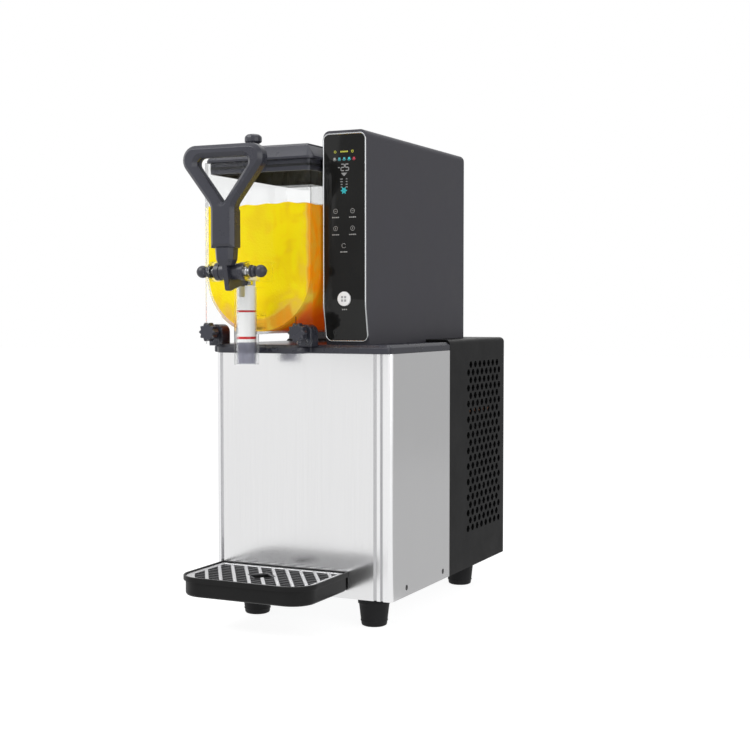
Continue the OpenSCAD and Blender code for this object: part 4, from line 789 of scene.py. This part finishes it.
for side, x in zip(("left", "right"), clamp_xs):
    low, high = reach("clamp_knob_" + side)
    star_knob = bmesh.new()
    loft(star_knob, [[at(x + u, low.y + y, clamp_z + v) for u, v in star(star_r + grow)]
                     for y, grow in ((0, -1.6), (0.8, -0.5), (2.0, 0), (8.0, 0), (9.2, -0.5), (10, -1.6))])
    turned(star_knob, [(4.2, 0.35), (5.2, 0.02), (5.6, 0.6), (5.6, 2)], (x, low.y, clamp_z), "Y")
    turned(star_knob, [(6.6, 9.6), (6.6, 16.2), (6.0, 16.7), (3, 16.7), (3, high.y - low.y)],
           (x, low.y, clamp_z), "Y", 32)
    finished("star_knob_" + side, star_knob, charcoal, body="clamp_" + side, stands_for="clamp_knob_" + side,
             crease=32)

# ---- Tap ----
# A white piston with two red rings slides in the clear barrel and is lifted by a pin in the lever's fin.
# The lever is one charcoal moulding that swings on a steel pin with a moulded cap pushed on each end.

lever_lo, lever_hi = reach("tap_lever")
_, pivot_y, pivot_z = middle("pivot_pin")
_, cross_y, cross_z = middle("lever_pin")
front_face, grip_top = lever_lo.y, lever_hi.z - pivot_z


def moved(corners, u, v):
    """Corners of an outline moved by two numbers."""
    return [(u + du, v + dv, radius) for du, dv, radius in corners]


grip_outside = [(-15, 25.2, 1), (15, 25.2, 1), (15, 71.7, 15), (67.2, grip_top, 15.5),
                (-67.2, grip_top, 15.5), (-15, 71.7, 15)]
grip_inside = [(0, 73.5, 2.5), (39.2, grip_top - 13.5, 6.5), (-39.2, grip_top - 13.5, 6.5)]
grip, opening = bmesh.new(), bmesh.new()
stack(grip, moved(grip_outside, tank_x, pivot_z),
      layers(front_face, (0, 4.6), (0.3, 4.0), (3.4, 0.3), (4.0, 0), (14, 0), (17, 3.0)), 10, "Y")
stack(opening, moved(grip_inside, tank_x, pivot_z),
      layers(front_face, (-0.5, -5.4), (0.3, -4.4), (3.7, -0.4), (4.3, 0), (5.2, 0), (6.0, -1.5),
             (11.2, -1.5), (12, 0), (13.8, 0), (17.4, -3.6)), 10, "Y")
lever = carved(grip, opening)
spine = [(-14.8, 12, 0.5), (14.8, 12, 0.5), (14.8, 17, 1.5), (11.5, 20, 1.5), (-11.5, 20, 1.5),
         (-14.8, 17, 1.5)]
stack(lever, moved(spine, tank_x, front_face), layers(pivot_z, (25.4, 0.8), (26.4, 0), (66, 0), (71, 2.6)),
      steps=2)
shank = [(-11.75, 7, 0.8), (-7.2, 2, 0.8), (7.2, 2, 0.8), (11.75, 7, 0.8), (11.75, 17.4, 2), (9, 20, 2),
         (-9, 20, 2), (-11.75, 17.4, 2)]
stack(lever, moved(shank, tank_x, front_face),
      layers(pivot_z, (6.2, 4.2), (8, 3.2), (12.2, 1.1), (13, 0.9), (25.6, 0)), steps=2)
fin = [(pivot_y - 16.4, pivot_z + 8, 1.2), (pivot_y - 9.6, pivot_z - 21.5, 3),
       (pivot_y - 4.4, pivot_z - 21.5, 3), (pivot_y + 16.4, pivot_z - 15.6, 5),
       (cross_y + 1.8, cross_z - 4.2, 3.6), (cross_y + 1.8, cross_z + 4.2, 3.6),
       (pivot_y + 2, pivot_z + 8, 3)]
fin_half = 3
slab(lever, fin, tank_x - fin_half, tank_x + fin_half, "X", 0.8)
hub = [(8.6, 19.5), (10, 18.2), (10, 12.6), (9.2, 12)]
turned(lever, [(r, -along) for r, along in hub] + hub[::-1], (tank_x, pivot_y, pivot_z), "X")
finished("tap_handle", lever, charcoal, body="lever", stands_for="tap_lever",
         edge=0.35, steps=2, crease=24)

rings_lo, rings_hi = reach("piston_rings")
ring_r = (rings_hi.x - rings_lo.x) / 2
barrel_y = middle("piston_rings")[1]
rings = bmesh.new()
for ring_z, half in ((rings_lo.z + 1.1, 1.9), (rings_hi.z - 1.1, 1.1)):
    profile = [(ring_r - 0.5, -half), (ring_r - 0.05, -half * 0.7), (ring_r, 0), (ring_r - 0.05, half * 0.7),
               (ring_r - 0.5, half)]
    turned(rings, profile, (tank_x, barrel_y, ring_z), "Z", 64)
finished("tap_rings", rings, red_silicone, body="piston", stands_for="piston_rings",
         crease=40)

# grey-violet hazy sheet just inside the wall of the spout under the piston
smoke = clear("spout_film", (0.80, 0.80, 0.86), 0.3, 1.05, 0.3)
tree = smoke.node_tree
output = tree.nodes["Material Output"]
haze = wired(tree, "ShaderNodeBsdfDiffuse", {"Color": (0.30, 0.30, 0.36, 1)})
veil = wired(tree, "ShaderNodeMixShader", {"Fac": 0.32, 1: output.inputs["Surface"].links[0].from_socket,
                                           2: haze.outputs["BSDF"]})
feed(tree, output, {"Surface": veil.outputs["Shader"]})
spout_low, spout_high = tank_lo.z + 0.8, reach("tap_piston")[0].z - 0.3
film_out, film_in = 10.45, 10.2
film_section = ((film_out, spout_low), (film_out, spout_high), (film_in, spout_high), (film_in, spout_low))
film = bmesh.new()
loft(film, [[at(x, y, z) for x, y in arc(tank_x, barrel_y, r, 0, 360, 64)[:-1]] for r, z in film_section],
     closed=True)
finished("spout_film", film, smoke, crease=30)

ends_lo, ends_hi = reach("pivot_caps")
cap_length, ball_r, ball_at = 20.14, 7.0, 12.34
acorn = [(6.4, 0), (7, 0.4), (7, 1.6), (6.3, 2), (5.7, 2.3), (6.3, 3.4), (6.3, 4.7), (5.6, 6), (4.4, 6.8),
         *arc(0, ball_at, ball_r, -50, 124, 12), (1.6, cap_length - 0.5), (1.0, cap_length)]
caps = bmesh.new()
for side, tip in ((1, ends_hi.x), (-1, ends_lo.x)):
    turned(caps, [(r, side * (along - cap_length)) for r, along in acorn], (tip, pivot_y, pivot_z), "X")
finished("pin_caps", caps, charcoal, stands_for="pivot_caps", crease=26)

# ---- Control column ----
# A tall moulded charcoal housing to the right of the tank, whose face leans back at the foot.
# A plated trim frames a black touch glass; the start button is pushed through a hole in the glass.

button_lo, button_hi = reach("start_button")
column_mid, _, button_z = middle("start_button")
button_r = (button_hi.x - button_lo.x) / 2
chin_z, chin_slope, chin_blend = deck_z + 45, 8 / 45, 6.0
column_wall, face_depth, glass_gap = 2.5, 10, 0.3


def lean(z):
    """How far the face leans back at a height."""
    below = chin_z - z
    if below > chin_blend:
        return chin_slope * below
    return chin_slope * max(below + chin_blend, 0) ** 2 / (4 * chin_blend)


def bent(points):
    """Adds points along upright edges, so that they can follow the bend of the face."""
    levels = [chin_z + chin_blend * k / 3 for k in range(-3, 4)]
    result = []
    for (u0, v0), (u1, v1) in zip(points, points[1:] + points[:1]):
        result.append((u0, v0))
        for z in sorted((z for z in levels if min(v0, v1) < z < max(v0, v1)), reverse=v0 > v1):
            result.append((u0 + (u1 - u0) * (z - v0) / (v1 - v0), z))
    return result


def face_loft(shell, rings, closed=False):
    """Adds a body through rings (corners, inset, y); those near the column's face lean back with it."""
    loft(shell, [[at(x, y + lean(z) * (y < face_depth), z) for x, z in bent(outline(corners, inset, 8))]
                 for corners, inset, y in rings], closed)


def button_hole():
    """Body that cuts the button's hole."""
    cutter = bmesh.new()
    turned(cutter, [(button_r + glass_gap, y) for y in (-4, 10)], (column_mid, 0, button_z), "Y", 64)
    return cutter


body = rectangle(column_lo.x, column_lo.z, column_hi.x, column_hi.z, 0.4, 0.4, 8, 8)
tail = rectangle(column_lo.x, cover_hi.z, column_hi.x, column_hi.z, 0.4, 0.4, 8, 8)
hollow = rectangle(column_lo.x + column_wall, column_lo.z - 3,
                   column_hi.x - column_wall, column_hi.z - column_wall, 0.4, 0.4, 5.5, 5.5)
face = rectangle(column_lo.x, deck_z + 3, column_hi.x, column_hi.z - 3, 8)
shell, core = bmesh.new(), bmesh.new()
face_loft(shell, [(face, 1.9, 2), (face, 1.9, 1.6), (body, 0.3, 1.6), (body, 0, 2.0),
                  (body, 0, cover_lo.y - 0.4), (tail, 0, cover_lo.y - 0.3), (tail, 0, column_hi.y - 3),
                  (tail, 0.9, column_hi.y - 0.9), (tail, 3, column_hi.y)])
face_loft(core, [(hollow, 0, 4.5), (hollow, 0, column_hi.y - column_wall)])
window_lo, window_hi = reach("display_module")
window = block(window_lo.x - glass_gap, window_hi.x + glass_gap, -3, 9,
               window_lo.z - glass_gap, window_hi.z + glass_gap)
finished("column_housing", carved(shell, core, window, button_hole()),
         moulded("column_plastic", (0.056, 0.055, 0.066), 0.46, 1500.0, 0.012, 0.08),
         stands_for="column_shell", crease=28)

trim = bmesh.new()
trim_section = ((0.35, 1.5), (0.35, -0.1), (0.75, -0.5), (1.45, -0.5), (1.85, -0.1), (1.85, 1.5))
face_loft(trim, [(face, inset, y) for inset, y in trim_section], closed=True)
trim_plate = metal("trim_plate", (0.50, 0.51, 0.52), 0.26, (600.0, 600.0, 60.0), 0.04)
finished("face_trim", trim, trim_plate, stands_for="column_trim", crease=30)

glass_black, tree, shader = blank("glass_black")
haze = pebbled(tree, 90.0)["Haze"]
blacks = [(0.3, (0.009, 0.009, 0.0088)), (0.7, (0.012, 0.012, 0.0115))]
feed(tree, shader, {"Base Color": tinted(tree, haze, blacks), "Roughness": between(tree, haze, 0.02, 0.05),
                    "Specular IOR Level": 0.3})
glass = bmesh.new()
face_loft(glass, [(face, 1.95, 1.9), (face, 1.95, 0.3), (face, 2.25, 0)])
finished("face_glass", carved(glass, button_hole()), glass_black,
         stands_for="touch_glass", crease=24)
paint(glass_black, "display_module")

# ---- Display ----
# Lit marks behind the touch glass: a status row, five lamps, a reading in bar digits, a level scale and a
# frost mark, then four touch keys, a reset key and their captions as plain bars.


def glow(name, colour, strength):
    """Printed or lit mark; it flickers a little in tone, as lamps behind a mask do."""
    material, tree, shader = blank(name)
    tone = tinted(tree, pebbled(tree, 700.0)["Haze"], [(0.35, [c * 0.8 for c in colour]), (0.65, colour)])
    feed(tree, shader, {"Base Color": tone, "Emission Color": tone, "Emission Strength": strength,
                        "Roughness": 0.4})
    return material


def plate(shell, points):
    """Adds a thin plate on the face of the glass, with its points counted from the column's middle."""
    loft(shell, [[at(column_mid + x, y + lean(z), z) for x, z in points] for y in (-0.02, -0.07)])


def dash(shell, x, z, w, h):
    """Adds a bar centred on a place."""
    u, v = w / 2, h / 2
    plate(shell, [(x - u, z - v), (x + u, z - v), (x + u, z + v), (x - u, z + v)])


def hoop(shell, x, z, r, w, start=0, sweep=360, steps=28):
    """Adds part of a thin ring, in short pieces."""
    outer, inner = (arc(x, z, q, start, sweep, steps) for q in (r, r - w))
    for i in range(steps):
        plate(shell, [outer[i], outer[i + 1], inner[i + 1], inner[i]])


def digit(shell, x, z, parts):
    """Adds a seven-bar digit; parts names its lit bars, from a to g."""
    w, h = 4.2, 7.2
    places = {"a": (0, h / 2), "g": (0, 0), "d": (0, -h / 2), "f": (-w / 2, h / 4), "b": (w / 2, h / 4),
              "e": (-w / 2, -h / 4), "c": (w / 2, -h / 4)}
    for part in parts:
        dx, dz = places[part]
        dash(shell, x + dx, z + dz, *((w * 0.86, 1.1) if part in "agd" else (1.1, h * 0.44)))


lamp_z = column_hi.z - 32
status_z, reading_z, scale_z, frost_z = lamp_z + 7.7, lamp_z - 10, lamp_z - 23, lamp_z - 36
white_marks, grey_marks, cyan_marks, yellow_marks, red_marks, teal_marks = (bmesh.new() for _ in range(6))
for i in range(6):
    dash(yellow_marks, 1.6 * i - 4.0, status_z, 1.1, 1.7)
for x in (-11.2, 10.4):
    hoop(yellow_marks, x, status_z, 1.5, 0.5, steps=12)
for i, lamps in enumerate((white_marks, teal_marks, teal_marks, cyan_marks, red_marks)):
    dash(lamps, 6.1 * i - 12, lamp_z, 2.6, 2.4)
    hoop(lamps, 6.1 * i - 12, lamp_z, 2.4, 0.4, 200, 140, 8)
dash(grey_marks, -6.4, reading_z, 2.2, 1.1)
digit(grey_marks, -1.8, reading_z, "abged")
digit(grey_marks, 3.6, reading_z, "afgcd")
plate(grey_marks, [(-4, scale_z + 7), (0, scale_z + 3), (4, scale_z + 7)])
for i in range(4):
    dash(grey_marks, -3.2, scale_z - 3 * i, 3.2 - 0.4 * i, 1.0)
    dash(grey_marks, 3.2, scale_z - 3 * i, 1.6 + 0.4 * i, 1.0)
for i in range(6):
    c, s = math.cos(math.radians(60 * i)), math.sin(math.radians(60 * i))
    arm = ((0.4, -0.5), (3.9, -0.5), (3.9, 0.5), (0.4, 0.5))
    plate(cyan_marks, [(-0.3 + u * c - v * s, frost_z + u * s + v * c) for u, v in arm])
hoop(cyan_marks, -0.3, frost_z, 2.6, 0.8)
key_left, key_right, keys_z, lower_keys_z, reset_z = -10.8, 10.6, lamp_z - 59, lamp_z - 78.5, lamp_z - 98
keys = [(x, z, 0, 360) for z in (keys_z, lower_keys_z) for x in (key_left, key_right)]
for x, z, start, sweep in [*keys, (-0.4, reset_z, 30, 300)]:
    hoop(white_marks, x, z, 2.7, 0.45, start, sweep)
    for k, w in enumerate((1.9, 1.3, 2.1, 1.6)):
        dash(white_marks, x - 3.4 + 2.3 * k, z - 7, w, 1.25)
for x in (key_left, key_right):
    dash(white_marks, x, keys_z, 2.4, 0.5)
    dash(white_marks, x, lower_keys_z, 0.5, 2.4)
for k, w in enumerate((1.5, 1.9, 1.4)):
    dash(white_marks, 2.4 * k - 2.4, button_z - 12, w, 1.3)
for name, marks, colour, strength in (("marks_white", white_marks, (0.36, 0.36, 0.35), 0.05),
                                      ("marks_grey", grey_marks, (0.24, 0.24, 0.24), 0.08),
                                      ("marks_cyan", cyan_marks, (0.03, 0.42, 0.46), 0.3),
                                      ("marks_teal", teal_marks, (0.05, 0.30, 0.34), 0.3),
                                      ("marks_yellow", yellow_marks, (0.50, 0.50, 0.05), 0.3),
                                      ("marks_red", red_marks, (0.42, 0.03, 0.06), 0.2)):
    finished(name, marks, glow(name, colour, strength))

# ---- Start button ----
# A round white cap with a stem that presses the switch on the board; it sits on a coil spring.
# Four squares are printed on its face.

button = bmesh.new()
turned(button, [(2.4, button_hi.y), (2.4, 6.6), (7.6, 6.6), (8.2, 6.0), (8.2, -0.7), (7.9, -1.2),
                (7.2, -1.45), (4, -1.57), (1, -1.6)], (column_mid, 0, button_z), "Y", 64)
finished("start_cap", button, moulded("white_cap", (0.86, 0.86, 0.86), 0.3, 1200.0, 0.004, 0.02, 0.3, 0.5),
         body="start_button", stands_for="start_button", crease=30)
square, square_at = ((-1.3, -1.3), (1.3, -1.3), (1.3, 1.3), (-1.3, 1.3)), 1.9
prints = bmesh.new()
for x in (column_mid - square_at, column_mid + square_at):
    for z in (button_z - square_at, button_z + square_at):
        loft(prints, [[at(x + u, y, z + v) for u, v in square] for y in (-1.52, -1.64)])
finished("start_squares", prints, glow("grey_print", (0.40, 0.40, 0.41), 0.0),
         body="start_button")

# ---- Drip tray ----
# A moulded black tray with a stepped rim, hooked into two slots in the front panel by tabs on its back.
# Its floor catches what falls through the grille.

tray_lo, tray_hi = reach("drip_tray")
grille_lo, grille_hi = reach("drip_grille")
tray_x, tray_back = middle("drip_tray")[0], -0.3
tray = bmesh.new()
stack(tray, rectangle(tray_lo.x, tray_lo.y, tray_hi.x, tray_back, 30, 30, 0.6, 0.6),
      layers(grille_lo.z, (-16.4, 11.4), (-15, 9), (-8, 5), (-0.1, 5), (0, 2.6))
      + layers(tray_hi.z, (-0.4, 2.4), (0, 1.9), (0, 0.8), (-0.3, 0.2), (-0.9, 0), (-5.2, 0), (-5.8, 0.3),
               (-6.2, 2.3), (-7, 2.5))
      + layers(tray_lo.z, (3.6, 2.5), (2.2, 2.8), (1.1, 3.6), (0.4, 4.7), (0.05, 6.0), (0, 7.0)), steps=14)
tab_at, tab_half_w = 57, 6
for x in (tray_x - tab_at, tray_x + tab_at):
    tab = rectangle(x - tab_half_w, tray_back - 5, x + tab_half_w, tray_hi.y, 0.4)
    slab(tray, tab, tray_hi.z - 9, tray_hi.z - 6, "Z", 0.4, 2)
tray_black = moulded("tray_black", (0.007, 0.007, 0.0072), 0.38, 1300.0, 0.012, 0.14, 0.0, 0.2)
finished("tray_shell", tray, tray_black, body="tray", stands_for="drip_tray", crease=34)

# ---- Grille ----
# A bright frame with slanted ribs over a dark slotted mat, with a lozenge opening in the middle.
# It lies on the tray's ledge and lifts out.

tray_mid = (tray_lo.y + tray_back) / 2
top = grille_hi.z
grille_plan = rectangle(grille_lo.x, grille_lo.y, grille_hi.x, grille_hi.y, 27, 27, 0.5, 0.5)
frame_w, rib_w, rib_pitch, rib_turn = 6.0, 4.0, 18.3, math.radians(-57)
slot_pitch, slot_bar, tuck = 8.5, 3.6, 2
open_middle = outline(grille_plan, frame_w, 12)


def chord(points, start, way):
    """Where a line through start enters and leaves an outline, as distances along it, or None."""
    hits = []
    for a, b in zip(points, points[1:] + points[:1]):
        edge = Vector(b) - Vector(a)
        across = way.cross(edge)
        if abs(across) > 1e-9:
            offset = Vector(a) - start
            if 0 <= offset.cross(way) / across < 1:
                hits.append(offset.cross(edge) / across)
    return (min(hits), max(hits)) if len(hits) > 1 else None


def lozenge(grow):
    """Corners of the opening in the middle, grown outwards."""
    w, h = 13.5 + 1.4 * grow, 12 + 1.4 * grow
    return [(tray_x, tray_mid - h, 0.8), (tray_x + w, tray_mid, 0.8), (tray_x, tray_mid + h, 0.8),
            (tray_x - w, tray_mid, 0.8)]


def strips(starts, way, w, low, high, edge, grow):
    """Bars along lines across the frame's opening, cut out round the lozenge."""
    bars, cutter = bmesh.new(), bmesh.new()
    for start in starts:
        ends = chord(open_middle, start, way)
        if ends:
            aside = Vector((-way.y, way.x)) * w / 2
            a, b = start + way * (ends[0] - tuck), start + way * (ends[1] + tuck)
            bar = [(*corner, 0.1) for corner in (a - aside, b - aside, b + aside, a + aside)]
            slab(bars, bar, low, high, "Z", edge, 1)
    stack(cutter, lozenge(grow), [(grille_lo.z - 5, 0), (top + 5, 0)], steps=3)
    return carved(bars, cutter)


def hem(shell, corners, section, steps):
    """Adds a closed band along an outline, from pairs of an inset and a height over the grille's top."""
    loft(shell, [[at(x, y, top + z) for x, y in outline(corners, inset, steps)] for inset, z in section],
         closed=True)


bright = strips([Vector((tray_x + i * rib_pitch, tray_mid)) for i in range(-8, 9)],
                Vector((math.cos(rib_turn), math.sin(rib_turn))), rib_w, top - 2.1, top - 0.1, 0.5, 4)
hem(bright, grille_plan, [(0, -2.4), (0, -0.5), (0.5, 0), (frame_w - 0.5, 0), (frame_w, -0.5),
                          (frame_w, -2.4)], 12)
grille_metal = metal("grille_metal", (0.56, 0.56, 0.57), 0.34, (90.0, 900.0, 900.0), 0.08)
finished("grille_ribs", bright, grille_metal, body="grille", stands_for="drip_grille",
         crease=30)

mat = strips([Vector((tray_x, tray_mid + (j + 0.5) * slot_pitch)) for j in range(-7, 7)], Vector((1, 0)),
             slot_bar, top - 2.4, top - 1.3, 0.3, 3.6)
hem(mat, lozenge(4), [(0, -2.4), (0, -1.0), (0.5, -0.6), (2.6, -1.0), (2.6, -2.4)], 3)
mat_plastic = moulded("mat_plastic", (0.030, 0.030, 0.033), 0.5, 900.0, 0.01)
finished("grille_mat", mat, mat_plastic, body="grille", crease=30)

# ---- Studio ----
# A white floor that runs on past the view, a white room, grey cards that only mirrors see, and soft lamps.


def white_stage(tree, output, plain, level, under_lamps=0.0):
    """Looks a given white straight on, in mirrors and through clear plastic, and plain for all other light.

    under_lamps is how much of the lamps' own light is added straight on, so that a shadow shows.
    """
    light = wired(tree, "ShaderNodeLightPath", {}).outputs
    seen = [light[kind] for kind in ("Is Camera Ray", "Is Glossy Ray", "Is Transmission Ray")]
    white = combined(tree, "MAXIMUM", *seen)
    shown = wired(tree, "ShaderNodeEmission", {"Strength": level}).outputs[0]
    if under_lamps:
        lamps = wired(tree, "ShaderNodeBsdfDiffuse", {"Color": (under_lamps, under_lamps, under_lamps, 1)})
        both = wired(tree, "ShaderNodeAddShader", {0: shown, 1: lamps.outputs[0]})
        shown = wired(tree, "ShaderNodeMixShader", {"Fac": light["Is Camera Ray"], 1: shown,
                                                    2: both.outputs[0]}).outputs[0]
    mix = wired(tree, "ShaderNodeMixShader", {"Fac": white, 1: plain, 2: shown})
    feed(tree, output, {"Surface": mix.outputs[0]})


def flat(name, points, material):
    """One flat face of the studio."""
    sheet = bmesh.new()
    sheet.faces.new([sheet.verts.new(p) for p in points])
    sheet = object_of(name, sheet)
    sheet.data.materials.append(material)
    return sheet


paper, tree, shader = blank("white_paper")
feed(tree, shader, {"Base Color": (0.8, 0.8, 0.8, 1), "Roughness": 0.9})
white_stage(tree, tree.nodes["Material Output"], shader.outputs["BSDF"], 0.91, 0.34)
floor_w = 9.0
flat("floor", [(floor_w * x, floor_w * y, 0) for x, y in ((-1, -1), (1, -1), (1, 1), (-1, 1))], paper)

world = bpy.data.worlds.new("white_room")
bpy.context.scene.world = world
world.use_nodes = True
tree = world.node_tree
feed(tree, tree.nodes["Background"], {"Color": (1, 1, 1, 1), "Strength": 0.42})
white_stage(tree, tree.nodes["World Output"], tree.nodes["Background"].outputs[0], 1.0)


def card(name, level, points):
    """Grey card that only mirrors see."""
    tone, tree, shader = blank(name)
    feed(tree, shader, {"Base Color": (0, 0, 0, 1), "Emission Color": (level, level, level, 1),
                        "Emission Strength": 1.0})
    sheet = flat(name, points, tone)
    sheet.visible_camera = sheet.visible_diffuse = sheet.visible_shadow = sheet.visible_transmission = False


card("card_column", 0.4, [(x, -1.135, z) for x, z in ((-0.30, 0.30), (-0.30, 1.5), (-0.53, 1.5),
                                                      (-0.447, 0.79), (-0.4874, 0.30))])
card("card_side", 0.39, [(x, 1.5, z) for x, z in ((0.15, 0), (2.4, 0), (2.4, 1.8), (0.15, 1.8))])
card("card_side_floor", 0.39, [(x, y, 0.004) for x, y in ((0.14, 0.0), (2.4, 0.0), (2.4, 1.5), (0.14, 1.5))])


def lamp(name, place, target, size, power):
    """Square soft lamp that faces a target."""
    light = bpy.data.lights.new(name, "AREA")
    light.shape = "SQUARE"
    light.size = size
    light.energy = power
    thing = bpy.data.objects.new(name, light)
    bpy.context.scene.collection.objects.link(thing)
    thing.location = place
    thing.rotation_euler = (Vector(target) - Vector(place)).to_track_quat("-Z", "Y").to_euler()


lamp("key", (-0.9, -1.5, 1.9), (0, 0, 0.25), 1.3, 31)
lamp("fill", (1.7, -1.2, 0.9), (0, 0, 0.25), 1.4, 9)
lamp("top", (0.1, 0.2, 2.2), (0, 0, 0.3), 1.4, 10)

camera = bpy.data.objects.new("camera", bpy.data.cameras.new("camera"))
bpy.context.scene.collection.objects.link(camera)
camera.location = (0.7439, -1.5099, 0.3624)
camera.rotation_euler = (math.radians(87.33), 0, math.radians(25.30))
camera.data.lens = 65.07
bpy.context.scene.camera = camera
bpy.context.scene.view_settings.view_transform = "Standard"
